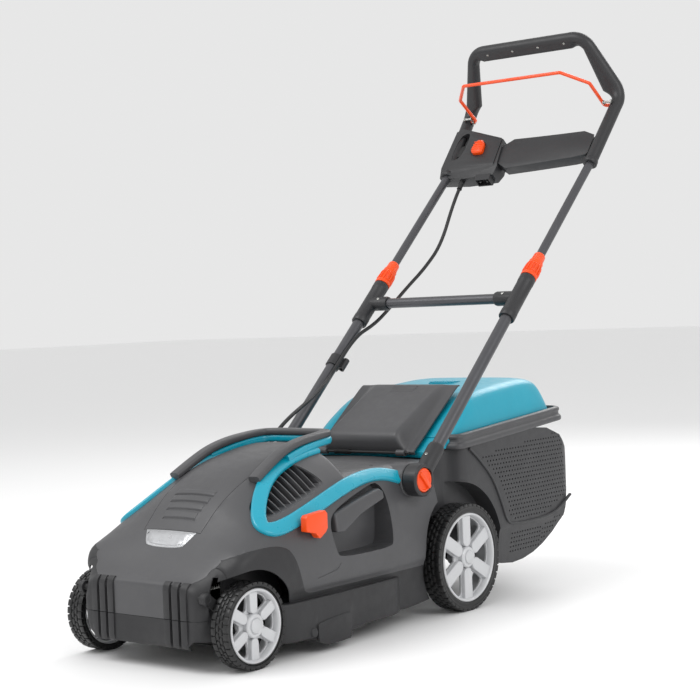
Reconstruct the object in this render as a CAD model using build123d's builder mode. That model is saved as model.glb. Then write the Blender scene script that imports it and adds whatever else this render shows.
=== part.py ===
"""Electric rotary lawn mower with a rear grass box and a folding telescopic handle.

Millimetres. The mower faces -Y, +X is its left side, +Z is up, and the floor is Z = 0.
Lengths along Y are counted from the front axle and moved by front_axle_y, which puts the
origin in the middle of the footprint.
"""
from math import atan2, cos, degrees, hypot, radians, sin, tan
import os

from build123d import *

os.makedirs("parts", exist_ok=True)

# ---------------------------------------------------------------- driving dimensions
front_axle_y = -612.7
wheelbase = 613.0
wall = 3.0
fit = 0.05
gap = 0.5

front_wheel_r, front_wheel_width, front_wheel_in = 75.0, 38.0, 159.0
rear_wheel_r, rear_wheel_width, rear_wheel_in = 106.0, 45.0, 170.0
tyre_depth_front, tyre_depth_rear = 11.0, 18.0
spokes = 6
axle_r = 6.0
hub_r = 16.0

crank_back, crank_down = 73.0, 53.0
lever_back, lever_up = 8.0, 12.0
lever_half_width, link_half_width, link_pin_r = 4.5, 4.5, 3.0
link_x = 103.0
arm_thick = 6.0

blade_length = 370.0
blade_z = 48.0
blade_y = 225.0
tip_gap = 15.0
housing_bottom = 25.0
housing_top = 106.0
seam_z = 108.0

chute_half_width = 92.0
motor_r = 66.0
motor_height = 95.0
shaft_r = 8.0

pivot_y, pivot_z = 479.0, 273.0
pivot_r = 32.0
bracket_in, bracket_out = 178.5, 209.0
handle_angle = 42.8
tube_x = 195.0
lower_tube_r, upper_tube_r, tube_wall = 12.5, 9.5, 1.5
lower_tube_start, tee_start, tee_end = 26.0, 444.0, 566.0
collar_end, upper_tube_start, grip_start = 635.0, 300.0, 939.0
cross_s, cross_r = 505.0, 11.0

grip_r = 14.5
grip_bend = (207.0, 1303.0, 1078.0)
grip_corner = (150.0, 1235.0, 1210.0)
bail_r = 4.0
bail_x = 178.0
bail_pivot = (1277.0, 1052.0)
pin_r, pin_length, pin_spacing, pin_root_r = 2.4, 19.0, 19.0, 1.9

box_start, box_half, box_front_half, box_full_from = 566.0, 195.0, 150.0, 625.0
arch_body_r, arch_box_r = 126.0, 148.0
rim_slope = 4.6
flap_y, flap_z, flap_half = 552.0, 316.0, 125.0
flap_pin_r, lug_r = 2.5, 6.5

cable_r = 4.0
cable_entry = (-108.0, 385.0)
entry_clearance = 2.5

# ---------------------------------------------------------------- frame helpers
fa = front_axle_y
rear_axle = wheelbase
side = Plane(origin=(0, fa, 0), x_dir=(0, 1, 0), z_dir=(1, 0, 0))
tube_dir = Vector(0, cos(radians(handle_angle)), sin(radians(handle_angle)))
tube_up = Vector(0, -tube_dir.Z, tube_dir.Y)


def at(x, y, z):
    """A point from its side, its distance behind the front axle, and its height."""
    return Vector(x, fa + y, z)


def side_at(x):
    """A side plane at x facing +X: local x is +Y from the front axle, local y is up."""
    return Plane(origin=(x, fa, 0), x_dir=(0, 1, 0), z_dir=(1, 0, 0))


def across(y):
    """An upright plane across the mower at y: local x is +X, local y is up."""
    return Plane(origin=(0, fa + y, 0), x_dir=(1, 0, 0), z_dir=(0, -1, 0))


def level(z):
    """A level plane at z whose origin is above the front axle."""
    return Plane(origin=(0, fa, z), x_dir=(1, 0, 0), z_dir=(0, 0, 1))


def on_tube(x, s):
    """A point s along a handle tube, from the fold pivot's height upwards."""
    return at(x, pivot_y, pivot_z) + tube_dir * s


def tube_plane(x, s):
    """A plane square to a handle tube at s, with local y out of the tubes' plane."""
    return Plane(origin=on_tube(x, s), x_dir=(1, 0, 0), z_dir=tube_dir)


def save(part, name):
    """Label a finished piece and write it."""
    part.label = name
    export_step(part, f"parts/{name}.step")


def save_both(part, name):
    """Write a left piece and its mirror image as two solids of one node."""
    save(Compound([*part.solids(), *mirror(part, about=Plane.YZ).solids()]), name)


def save_pair(part, name):
    """Write the left piece and its mirror image on the right."""
    save(part, f"{name}_left")
    save(mirror(part, about=Plane.YZ), f"{name}_right")


# ---------------------------------------------------------------- outer form of the covers
# Each station: distance behind the front axle, then the half outline from the bottom edge up:
# hem, skirt, crease, side top, shoulder, hood edge, and the height on the centre line.
stations = [
    (-84, (112, 42), (130, 60), (134, 92), (134, 110), (126, 138), (90, 146), 148),
    (-60, (132, 39), (146, 60), (147, 100), (147, 120), (144, 152), (92, 160), 158),
    (-30, (150, 37), (180, 80), (188, 120), (192, 150), (188, 196), (100, 190), 184),
    (5, (170, 35), (188, 90), (196, 130), (198, 165), (188, 206), (76, 224), 229),
    (60, (185, 33), (190, 100), (202, 130), (198, 180), (176, 232), (84, 274), 283),
    (150, (190, 33), (190, 105), (203, 125), (198, 215), (168, 258), (90, 322), 332),
    (240, (190, 33), (190, 105), (203, 125), (198, 220), (162, 280), (92, 342), 352),
    (298, (190, 33), (190, 105), (203, 125), (196, 225), (160, 296), (92, 348), 358),
    (304, (190, 33), (190, 105), (203, 125), (196, 226), (160, 297), (92, 303), 308),
    (400, (190, 33), (190, 105), (203, 125), (190, 232), (160, 300), (95, 304), 308),
    (455, (190, 33), (190, 105), (202, 128), (176, 236), (156, 300), (100, 304), 308),
    (560, (190, 45), (190, 105), (198, 130), (176, 236), (156, 300), (110, 304), 308),
]


def section(row, inset, drop):
    """The closed outline of one station, moved in by inset, its hem lowered by drop."""
    half = [(x - inset, z - inset) for x, z in row[1:-1]]
    half[0] = (half[0][0], row[1][1] - drop)
    top = row[-1] - inset
    return half + [(0, top)] + [(-x, z) for x, z in reversed(half)]


def covers_form(inset, drop, end_inset):
    """The smooth block that the deck and covers are cut from."""
    with BuildPart() as form:
        for number, row in enumerate(stations):
            y = row[0]
            if number == 0:
                y += end_inset
            if number == len(stations) - 1:
                y -= end_inset
            with BuildSketch(across(y)):
                with BuildLine():
                    Polyline(*section(row, inset, drop), close=True)
                make_face()
        loft(ruled=True)
    return form.part


def wheel_spaces(grow):
    """The room round the four wheels and their crank arms, made larger by grow."""
    with BuildPart() as spaces:
        for facing in (1, -1):
            with BuildSketch(side_at(facing * (156 - grow))):
                with Locations((0, front_wheel_r)):
                    Circle(95 + grow)
            extrude(amount=facing * 80)
            with BuildSketch(side_at(facing * (148 - grow))):
                with Locations((-40, 75)):
                    Rectangle(140 + 2 * grow, 175 + 2 * grow)
            extrude(amount=facing * (10 + grow))
            with BuildSketch(side_at(facing * (158 - grow))):
                with Locations((rear_axle, rear_wheel_r)):
                    Circle(arch_body_r + grow)
            extrude(amount=facing * 80)
    return spaces.part


outer = covers_form(0, 0, 0)
inner = covers_form(wall, 40, wall)
proud = covers_form(-3, 0, 0)

with BuildPart() as shell_builder:
    add(outer)
    add(wheel_spaces(0), mode=Mode.SUBTRACT)
    add(inner - wheel_spaces(wall), mode=Mode.SUBTRACT)
shell = shell_builder.part

# the seam between the dark deck and the grey cover, seen from the side
seam = [(-120, 142), (-86, 146), (-60, 156), (-30, 192), (91, 190), (132, seam_z), (700, seam_z)]
hood_front, hood_back = 3.0, 298.0
vent_outline = [(72, 252), (80, 243), (236, 289), (214, 322), (160, 318)]


def side_region(points, x_from, x_to):
    """A side outline as a block from x_from to x_to."""
    with BuildPart() as block:
        with BuildSketch(side_at(x_from)):
            with BuildLine():
                Polyline(*points, close=True)
            make_face()
        extrude(amount=x_to - x_from)
    return block.part


below_seam = side_region(seam + [(700, -60), (-120, -60)], -260, 260)
above_seam = side_region(seam + [(700, 500), (-120, 500)], -260, 260)


def hood_region(grow):
    """The block that the hood is cut out with, larger by grow for its seam."""
    with BuildPart() as block:
        with BuildSketch(level(150)):
            with BuildLine():
                Polyline(
                    (68 + grow, hood_front - grow),
                    (86 + grow, hood_back + grow),
                    (-86 - grow, hood_back + grow),
                    (-68 - grow, hood_front - grow),
                    close=True,
                )
            make_face()
        extrude(amount=260)
    return block.part


vents = side_region(vent_outline, 60, 230)
vents_both = vents + mirror(vents, about=Plane.YZ)

# ---------------------------------------------------------------- deck
with BuildPart() as deck:
    add(shell)
    add(below_seam, mode=Mode.INTERSECT)
    with BuildSketch(level(housing_top - wall)):
        with BuildLine():
            Polyline((145, 30), (145, 94), (187, 99), (187, 486), (152, 500), (152, 557), (-152, 557), (-152, 500),
                     (-187, 486), (-187, 99), (-145, 94), (-145, 30), close=True)
        make_face()
    extrude(amount=wall)
    housing_r = blade_length / 2 + tip_gap
    with BuildSketch(level(housing_bottom)):
        with Locations((0, blade_y)):
            Circle(housing_r + wall)
    extrude(amount=housing_top - housing_bottom)
    with BuildSketch(level(housing_bottom - 1)):
        with Locations((0, blade_y)):
            Circle(housing_r)
    extrude(amount=housing_top - wall - housing_bottom + 1, mode=Mode.SUBTRACT)
    with BuildSketch(level(housing_bottom - 20)):
        with Locations((0, -165)):
            Rectangle(400, 245)
    extrude(amount=200, mode=Mode.SUBTRACT)
    with BuildSketch(level(housing_top - wall - 1)):
        with Locations((0, blade_y)):
            Circle(30)
    extrude(amount=wall + 2, mode=Mode.SUBTRACT)
    with BuildSketch(level(58)):
        with Locations((0, 470)):
            Rectangle(2 * (chute_half_width + gap), 2 * (470 - 372))
    extrude(amount=60, mode=Mode.SUBTRACT)
save(deck.part, "deck")

# ---------------------------------------------------------------- front bumper
bumper_back = -43.0
with BuildPart() as bumper:
    add(shell)
    add(below_seam, mode=Mode.INTERSECT)
    with BuildSketch(level(-50)):
        with Locations((0, -100)):
            Rectangle(500, 2 * (bumper_back + 100))
    extrude(amount=300, mode=Mode.INTERSECT)
    with BuildSketch(side_at(-148)):
        with Locations((-crank_back, front_wheel_r + crank_down)):
            Circle(11)
    extrude(amount=28)
    with BuildSketch(side_at(148)):
        with Locations((-crank_back, front_wheel_r + crank_down)):
            Circle(11)
    extrude(amount=-28)
    with BuildSketch(side_at(-160)):
        with Locations((-crank_back, front_wheel_r + crank_down)):
            Circle(axle_r + fit)
    extrude(amount=320, mode=Mode.SUBTRACT)
save(bumper.part, "front_bumper")

# ---------------------------------------------------------------- body cover
with BuildPart() as cover:
    add(shell)
    add(above_seam, mode=Mode.INTERSECT)
    add(hood_region(gap), mode=Mode.SUBTRACT)
    add(vents_both, mode=Mode.SUBTRACT)
    for facing in (1, -1):
        with BuildSketch(side_at(facing * 140)):
            with Locations((pivot_y, pivot_z)):
                Circle(pivot_r + 1)
        extrude(amount=facing * 38)
        with BuildSketch(side_at(facing * 146)):
            with Locations((rear_axle - crank_back, rear_wheel_r + crank_down)):
                Circle(12)
        extrude(amount=facing * 13)
        with BuildSketch(side_at(facing * 130)):
            with Locations((rear_axle - crank_back, rear_wheel_r + crank_down)):
                Circle(axle_r + fit)
        extrude(amount=facing * 40, mode=Mode.SUBTRACT)
        with BuildSketch(side_at(facing * 120)):
            with Locations((pivot_y, pivot_z)):
                Circle(4.1)
        extrude(amount=facing * 80, mode=Mode.SUBTRACT)
    with BuildSketch(across(561)):
        with Locations((0, 229)):
            Rectangle(2 * (chute_half_width + gap), 128)
    extrude(amount=10, mode=Mode.SUBTRACT)
    with BuildSketch(level(298)):
        with Locations(cable_entry):
            Circle(10)
    extrude(amount=11)
    with BuildSketch(level(290)):
        with Locations(cable_entry):
            Circle(cable_r + entry_clearance)
    extrude(amount=30, mode=Mode.SUBTRACT)
    with BuildSketch(side_at(150)):
        with Locations((150, 226)):
            Circle(6)
    extrude(amount=60, mode=Mode.SUBTRACT)
    for x_from, x_to in ((-120, -110.5), (-89.5, -72), (72, 89.5), (110.5, 120)):
        with BuildSketch(side_at(x_from)):
            with Locations((flap_y, flap_z)):
                Circle(lug_r)
            with Locations((flap_y, flap_z - 9)):
                Rectangle(2 * lug_r, 16)
            with Locations((flap_y, flap_z)):
                Circle(flap_pin_r, mode=Mode.SUBTRACT)
        extrude(amount=x_to - x_from)
save(cover.part, "body_cover")

# ---------------------------------------------------------------- motor hood
louvre_rows = [(17, 245), (36, 262), (55, 278)]
with BuildPart() as hood:
    add(shell)
    add(above_seam, mode=Mode.INTERSECT)
    add(hood_region(0), mode=Mode.INTERSECT)
    for y, z in louvre_rows:
        with BuildSketch(level(z - 30)):
            with Locations((0, y)):
                SlotOverall(90, 4)
        extrude(amount=60, mode=Mode.SUBTRACT)
save(hood.part, "motor_hood")

# ---------------------------------------------------------------- vent grilles
slat_pitch = 14.0
with BuildPart() as grille:
    add(shell)
    add(side_region(vent_outline, 60, 230), mode=Mode.INTERSECT)
    with BuildSketch(side_at(60)):
        for number in range(9):
            with Locations((92 + number * slat_pitch, 277 + number * 3.6)):
                Rectangle(slat_pitch - 5, 36 + number * 0.8, rotation=-8)
    extrude(amount=170, mode=Mode.SUBTRACT)
save_both(grille.part, "vent_grilles")

# ---------------------------------------------------------------- teal trim loops
with BuildPart() as trim:
    add(proud)
    add(outer, mode=Mode.SUBTRACT)
    with BuildSketch(side):
        with BuildLine():
            Polyline((38, 250), (60, 230), (150, 248), (300, 280), (380, 300), (450, 304), (446, 322),
                     (370, 318), (290, 306), (250, 297), (236, 289), (80, 243), (72, 252), (160, 318),
                     (214, 322), (290, 330), (296, 352), (160, 338), (60, 290), close=True)
        make_face()
    extrude(amount=230, mode=Mode.INTERSECT)
    with BuildSketch(side):
        with Locations((380, 300)):
            Rectangle(164, 80)
    extrude(amount=148, mode=Mode.SUBTRACT)
    with BuildSketch(side_at(100)):
        with Locations((pivot_y, pivot_z)):
            Circle(pivot_r + 1 + gap)
    extrude(amount=120, mode=Mode.SUBTRACT)
    add(hood_region(gap), mode=Mode.SUBTRACT)
save_both(trim.part, "side_trims")

# ---------------------------------------------------------------- silver nose plate
with BuildPart() as nose_plate:
    add(proud)
    add(outer, mode=Mode.SUBTRACT)
    with BuildSketch(level(100)):
        with BuildLine():
            Polyline((62, 1), (44, -18), (-44, -18), (-62, 1), close=True)
        make_face()
    extrude(amount=200, mode=Mode.INTERSECT)
save(nose_plate.part, "nose_plate")

# ---------------------------------------------------------------- carrying handle
carry_plane = Plane(origin=at(0, 262, 352.5), x_dir=(1, 0, 0),
                    z_dir=(0, -sin(radians(4)), cos(radians(4))))


def carry_loop(z_low, z_high):
    """The U shape of the carrying handle between two heights above its plane."""
    with BuildPart() as loop:
        with BuildSketch(carry_plane.offset(z_low)):
            with BuildLine():
                Polyline((94, 0), (94, 62), (60, 104), (-60, 104), (-94, 62), (-94, 0), (-74, 0),
                         (-74, 56), (-50, 82), (50, 82), (74, 56), (74, 0), close=True)
            make_face()
        extrude(amount=z_high - z_low)
        add(outer, mode=Mode.SUBTRACT)
    return loop.part


save(carry_loop(8, 22).solids().sort_by(SortBy.VOLUME)[-1], "carrying_handle")
save(carry_loop(0, 8).solids().sort_by(SortBy.VOLUME)[-1], "carrying_handle_trim")

# ---------------------------------------------------------------- discharge chute
chute_side = [(376, 109), (402, 74), (428, 74), (559.5, 169), (559.5, 291), (500, 291)]
with BuildPart() as chute:
    with BuildSketch(side_at(-chute_half_width)):
        with BuildLine():
            Polyline(*chute_side, close=True)
        make_face()
    extrude(amount=2 * chute_half_width)
    with BuildSketch(side_at(-chute_half_width + wall)):
        with BuildLine():
            Polyline((372, 109), (372, 60), (425, 60), (428, 78), (570, 180), (570, 288), (501.5, 288),
                     (379, 109), close=True)
        make_face()
    extrude(amount=2 * (chute_half_width - wall), mode=Mode.SUBTRACT)
    with BuildSketch(level(50)):
        with Locations((0, blade_y)):
            Circle(blade_length / 2 + tip_gap + wall + gap)
    extrude(amount=housing_top - 50 + 1, mode=Mode.SUBTRACT)
save(chute.part, "discharge_chute")

# ---------------------------------------------------------------- rear flap
flap_axis = at(0, flap_y, flap_z)
with BuildPart() as flap:
    with BuildSketch(side_at(-95)):
        with BuildLine():
            Polyline((563, 312), (552, 350), (560, 360), (722, 446), (726, 440), close=True)
        make_face()
    extrude(amount=190)
    with BuildSketch(side_at(-flap_half)):
        with BuildLine():
            Polyline((562, 312), (560.5, 316), (724, 446), (727, 442), close=True)
        make_face()
    extrude(amount=2 * flap_half)
    with BuildSketch(side_at(-92)):
        with BuildLine():
            Polyline((567, 312), (556, 350), (562, 357), (718, 440), (726, 436), close=True)
        make_face()
    extrude(amount=184, mode=Mode.SUBTRACT)
    for x in (-110, 90):
        with BuildSketch(side_at(x)):
            with Locations((flap_y, flap_z)):
                Circle(lug_r)
            with BuildLine():
                Polyline((flap_y - 1, flap_z + 5), (flap_y + 2, flap_z - 5), (566, 313), (572, 324), close=True)
            make_face()
        extrude(amount=20)
        with BuildSketch(side_at(x - 1)):
            with Locations((flap_y, flap_z)):
                Circle(flap_pin_r + fit)
        extrude(amount=22, mode=Mode.SUBTRACT)
save(flap.part, "rear_flap")

with BuildPart() as flap_pin:
    with BuildSketch(side_at(-120)):
        with Locations((flap_y, flap_z)):
            Circle(flap_pin_r)
    extrude(amount=240)
save(flap_pin.part, "flap_hinge_pin")


def spring(center, axis, coil_r, wire_r, length, turns, name):
    """A coil spring written as its own piece."""
    with BuildPart() as coil:
        with BuildLine():
            path = Helix(length / turns, length, coil_r, center=center, direction=axis)
        with BuildSketch(Plane(origin=path @ 0, z_dir=path % 0)):
            Circle(wire_r)
        sweep(path=path)
    save(coil.part, name)


spring(at(-69, flap_y, flap_z), (1, 0, 0), 4.5, 0.8, 40, 12, "flap_spring")

# ---------------------------------------------------------------- motor
motor_base = housing_top
with BuildPart() as flange:
    with BuildSketch(level(motor_base)):
        with Locations((0, blade_y)):
            Circle(motor_r + 8)
    extrude(amount=14)
    with BuildSketch(level(motor_base - 8)):
        with Locations((0, blade_y)):
            Circle(29)
    extrude(amount=8)
    with BuildSketch(level(motor_base - 9)):
        with Locations((0, blade_y)):
            Circle(16)
    extrude(amount=30, mode=Mode.SUBTRACT)

with BuildPart() as stator:
    with BuildSketch(level(motor_base + 14)):
        with Locations((0, blade_y)):
            Circle(motor_r)
            with PolarLocations(motor_r, 16):
                Rectangle(6, 4)
            Circle(motor_r - 22, mode=Mode.SUBTRACT)
    extrude(amount=motor_height - 30)
save(stator.part, "motor_stator")

with BuildPart() as rotor:
    with BuildSketch(level(motor_base + 20)):
        with Locations((0, blade_y)):
            Circle(motor_r - 23)
            Circle(shaft_r, mode=Mode.SUBTRACT)
    extrude(amount=motor_height - 42)

shield_z = motor_base + motor_height - 16
with BuildPart() as shield:
    with BuildSketch(level(shield_z)):
        with Locations((0, blade_y)):
            Circle(motor_r + 4)
            Circle(16, mode=Mode.SUBTRACT)
    extrude(amount=14)
save(Compound([*flange.solids(), *shield.solids()]), "motor_shields")

with BuildPart() as bearings:
    for z in (motor_base - 8, shield_z):
        with BuildSketch(level(z)):
            with Locations((0, blade_y)):
                Circle(16)
                Circle(shaft_r + fit, mode=Mode.SUBTRACT)
        extrude(amount=10)
save(bearings.part, "motor_bearings")

shaft_bottom, shaft_top = blade_z - 4, shield_z + 40
with BuildPart() as shaft:
    with BuildSketch(level(shaft_bottom)):
        with Locations((0, blade_y)):
            Circle(shaft_r)
    extrude(amount=shaft_top - shaft_bottom)
    with BuildSketch(level(shaft_bottom)):
        with Locations((0, blade_y)):
            Circle(4)
    extrude(amount=25, mode=Mode.SUBTRACT)
save(Compound([*rotor.solids(), *shaft.solids()]), "motor_rotor")

with BuildPart() as fan:
    with BuildSketch(level(shield_z + 20)):
        with Locations((0, blade_y)):
            Circle(52)
            Circle(shaft_r, mode=Mode.SUBTRACT)
    extrude(amount=2.5)
    with BuildSketch(level(shield_z + 20)):
        with Locations((0, blade_y)):
            Circle(15)
            Circle(shaft_r, mode=Mode.SUBTRACT)
    extrude(amount=18)
    with BuildSketch(level(shield_z + 22)):
        with Locations((0, blade_y)):
            with PolarLocations(33, 9):
                Rectangle(34, 2)
    extrude(amount=16)
save(fan.part, "cooling_fan")

with BuildPart() as capacitor:
    with BuildSketch(across(150)):
        with Locations((-118, 138)):
            Circle(19)
    extrude(amount=-78)
    fillet(capacitor.edges().filter_by(GeomType.CIRCLE), 2)
save(capacitor.part, "run_capacitor")

# ---------------------------------------------------------------- blade
with BuildPart() as blade_hub:
    with BuildSketch(level(blade_z + 4)):
        with Locations((0, blade_y)):
            Circle(28)
            Circle(shaft_r, mode=Mode.SUBTRACT)
    extrude(amount=22)
save(blade_hub.part, "blade_hub")

with BuildPart() as blade:
    with BuildSketch(level(blade_z)):
        with BuildLine():
            half = blade_length / 2
            Polyline((-half, blade_y - 14), (-half + 60, blade_y - 26), (60, blade_y - 26),
                     (half, blade_y - 26), (half, blade_y + 14), (half - 60, blade_y + 26),
                     (-60, blade_y + 26), (-half, blade_y + 26), close=True)
        make_face()
        with Locations((0, blade_y)):
            Circle(shaft_r, mode=Mode.SUBTRACT)
    extrude(amount=4)
    with BuildSketch(level(blade_z)):
        with Locations((0, blade_y)):
            Circle(half, mode=Mode.ADD)
    extrude(amount=4, mode=Mode.INTERSECT)
save(blade.part, "blade")

with BuildPart() as washer:
    with BuildSketch(level(blade_z - 8)):
        with Locations((0, blade_y)):
            Circle(20)
            Circle(4, mode=Mode.SUBTRACT)
    extrude(amount=4)

with BuildPart() as bolt:
    with BuildSketch(level(blade_z - 16)):
        with Locations((0, blade_y)):
            RegularPolygon(9, 6)
    extrude(amount=8)
    with BuildSketch(level(blade_z - 8)):
        with Locations((0, blade_y)):
            Circle(4)
    extrude(amount=28)
save(Compound([*washer.solids(), *bolt.solids()]), "blade_fasteners")


# ---------------------------------------------------------------- wheels
def make_wheel(wheel_r, width, tyre_depth, x_in, y):
    """Tyre and rim of one left wheel, outer face towards +X."""
    rim_r = wheel_r - tyre_depth
    with BuildPart() as tyre:
        with BuildSketch(side_at(x_in)):
            with Locations((y, wheel_r)):
                Circle(wheel_r)
                Circle(rim_r, mode=Mode.SUBTRACT)
        extrude(amount=width)
        fillet(tyre.edges().filter_by(GeomType.CIRCLE).group_by(SortBy.RADIUS)[-1], 4)
    with BuildPart() as rim:
        with BuildSketch(side_at(x_in + 4)):
            with Locations((y, wheel_r)):
                Circle(rim_r)
                Circle(rim_r - 5, mode=Mode.SUBTRACT)
        extrude(amount=width - 6)
        with BuildSketch(side_at(x_in + width - 14)):
            with Locations((y, wheel_r)):
                Circle(hub_r + 5)
                with PolarLocations((rim_r + hub_r) / 2, spokes, start_angle=30):
                    Rectangle(rim_r - hub_r - 1, 0.29 * rim_r)
        extrude(amount=10)
        with BuildSketch(side_at(x_in)):
            with Locations((y, wheel_r)):
                Circle(rim_r)
        extrude(amount=width, mode=Mode.INTERSECT)
        with BuildSketch(side_at(x_in)):
            with Locations((y, wheel_r)):
                Circle(hub_r)
        extrude(amount=width)
        with BuildSketch(side_at(x_in)):
            with Locations((y, wheel_r)):
                Circle(axle_r + fit)
        extrude(amount=width - 14, mode=Mode.SUBTRACT)
        with BuildSketch(side_at(x_in + width - 15)):
            with Locations((y, wheel_r)):
                Circle(11.5)
        extrude(amount=9, mode=Mode.SUBTRACT)
    return tyre.part, rim.part


wheel_rows = [
    ("front", front_wheel_r, front_wheel_width, tyre_depth_front, front_wheel_in, 0.0),
    ("rear", rear_wheel_r, rear_wheel_width, tyre_depth_rear, rear_wheel_in, rear_axle),
]
for name, *sizes in wheel_rows:
    tyre_part, rim_part = make_wheel(*sizes)
    save_pair(tyre_part, f"{name}_tyre")
    save_pair(rim_part, f"{name}_rim")


# ---------------------------------------------------------------- cranked axles
def bar_outline(start, end, half_width):
    """A round-ended bar between two points, in the current sketch."""
    length = hypot(end[0] - start[0], end[1] - start[1])
    turn = degrees(atan2(end[1] - start[1], end[0] - start[0]))
    with Locations(((start[0] + end[0]) / 2, (start[1] + end[1]) / 2)):
        SlotCenterToCenter(length, 2 * half_width, rotation=turn)


def make_axle(wheel_r, wheel_in, wheel_width, y, arm_in, rod_at_wheel):
    """A cranked axle: pivots, arms, the rod between its arms, and the link lever."""
    pivot = (y - crank_back, wheel_r + crank_down)
    lever_tip = (pivot[0] + lever_back, pivot[1] + lever_up)
    stub_end = wheel_in + wheel_width - 7
    with BuildPart() as axle:
        for facing in (1, -1):
            with BuildSketch(side_at(facing * arm_in)):
                bar_outline(pivot, (y, wheel_r), 9)
            extrude(amount=facing * arm_thick)
            with BuildSketch(side_at(facing * arm_in)):
                with Locations((y, wheel_r)):
                    Circle(axle_r)
            extrude(amount=facing * (stub_end - arm_in))
        with BuildSketch(side_at(-arm_in)):
            with Locations((y, wheel_r) if rod_at_wheel else pivot):
                Circle(axle_r)
        extrude(amount=2 * arm_in)
        for facing in (1, -1):
            with BuildSketch(side_at(facing * (wheel_in + wheel_width - 13))):
                with Locations((y, wheel_r)):
                    RegularPolygon(9, 6)
            extrude(amount=facing * 6)
        if rod_at_wheel:
            for facing in (1, -1):
                with BuildSketch(side_at(facing * arm_in)):
                    with Locations(pivot):
                        Circle(axle_r)
                extrude(amount=-facing * 30)
            with BuildSketch(side_at(arm_in - 30)):
                with Locations(pivot):
                    Circle(axle_r)
            extrude(amount=link_x + 2 - (arm_in - 30))
        with BuildSketch(side_at(link_x + 2.5)):
            bar_outline(pivot, lever_tip, lever_half_width)
        extrude(amount=5)
        with BuildSketch(side_at(link_x - 3)):
            with Locations(lever_tip):
                Circle(link_pin_r)
        extrude(amount=6)
    return axle.part, lever_tip


front_axle_part, front_lever = make_axle(
    front_wheel_r, front_wheel_in, front_wheel_width, 0.0, 149.5, False)
rear_axle_part, rear_lever = make_axle(
    rear_wheel_r, rear_wheel_in, rear_wheel_width, rear_axle, 160.5, True)
save(front_axle_part, "front_axle")
save(rear_axle_part, "rear_axle")

with BuildPart() as link:
    with BuildSketch(side_at(link_x - 2)):
        bar_outline(front_lever, rear_lever, link_half_width)
        with Locations(front_lever, rear_lever):
            Circle(link_pin_r + fit, mode=Mode.SUBTRACT)
    extrude(amount=4)
save(link.part, "height_link")

spring(at(90, -20, 135), (0, 1, 0), 6, 1.2, 70, 14, "lift_spring")

# ---------------------------------------------------------------- height button
with BuildPart() as height_button:
    with BuildSketch(side_at(205)):
        with BuildLine():
            Polyline((128, 214), (128, 240), (150, 246), (174, 240), (176, 216), (158, 202), close=True)
        make_face()
    extrude(amount=9)
    with BuildSketch(side_at(88)):
        with Locations((150, 226)):
            Circle(5)
    extrude(amount=118)
    with BuildSketch(side_at(88)):
        with Locations((150, 196)):
            Rectangle(10, 68)
    extrude(amount=6)
save(height_button.part, "height_button")

# ---------------------------------------------------------------- handle: lower part
with BuildPart() as bracket:
    with BuildSketch(side_at(bracket_in)):
        with Locations((pivot_y, pivot_z)):
            Circle(pivot_r)
    extrude(amount=bracket_out - bracket_in)
    with BuildSketch(tube_plane(tube_x, 10)):
        Circle(16)
    extrude(amount=75)
    with BuildSketch(tube_plane(tube_x, lower_tube_start)):
        Circle(lower_tube_r)
    extrude(amount=80, mode=Mode.SUBTRACT)
    with BuildSketch(side_at(bracket_out - 8)):
        with Locations((pivot_y, pivot_z)):
            Circle(23.5)
    extrude(amount=20, mode=Mode.SUBTRACT)
    with BuildSketch(side_at(bracket_in - 1)):
        with Locations((pivot_y, pivot_z)):
            Circle(4 + fit)
    extrude(amount=40, mode=Mode.SUBTRACT)
save_both(bracket.part, "handle_brackets")

with BuildPart() as knob:
    with BuildSketch(side_at(bracket_out - 7.5)):
        with Locations((pivot_y, pivot_z)):
            Circle(23)
    extrude(amount=7)
    with BuildSketch(side_at(bracket_out - 1)):
        with Locations((pivot_y, pivot_z)):
            Rectangle(42, 9, rotation=handle_angle - 90)
    extrude(amount=5)
    with BuildSketch(side_at(bracket_in - 35)):
        with Locations((pivot_y, pivot_z)):
            Circle(4)
    extrude(amount=bracket_out - 7 - bracket_in + 35)
save_pair(knob.part, "pivot_knob")

with BuildPart() as lower_tube:
    with BuildSketch(tube_plane(tube_x, lower_tube_start)):
        Circle(lower_tube_r)
        Circle(lower_tube_r - tube_wall, mode=Mode.SUBTRACT)
    extrude(amount=tee_end - 10 - lower_tube_start)
save_both(lower_tube.part, "lower_tubes")

with BuildPart() as tee:
    with BuildSketch(tube_plane(tube_x, tee_start)):
        Circle(17.5)
    extrude(amount=tee_end - tee_start)
    with BuildSketch(Plane(origin=on_tube(tube_x, cross_s), z_dir=(-1, 0, 0))):
        Circle(15)
    extrude(amount=52)
    with BuildSketch(tube_plane(tube_x, tee_end)):
        Circle(13)
    extrude(amount=24)
    with BuildSketch(tube_plane(tube_x, tee_start)):
        Circle(lower_tube_r)
    extrude(amount=tee_end - 10 - tee_start, mode=Mode.SUBTRACT)
    with BuildSketch(tube_plane(tube_x, tee_start)):
        Circle(upper_tube_r + fit)
    extrude(amount=200, mode=Mode.SUBTRACT)
    with BuildSketch(Plane(origin=on_tube(tube_x - 22, cross_s), z_dir=(-1, 0, 0))):
        Circle(cross_r)
    extrude(amount=60, mode=Mode.SUBTRACT)
save_both(tee.part, "tee_connectors")

with BuildPart() as cross_tube:
    with BuildSketch(Plane(origin=on_tube(22 - tube_x, cross_s), z_dir=(1, 0, 0))):
        Circle(cross_r)
        Circle(cross_r - tube_wall, mode=Mode.SUBTRACT)
    extrude(amount=2 * (tube_x - 22))
save(cross_tube.part, "cross_tube")

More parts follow.
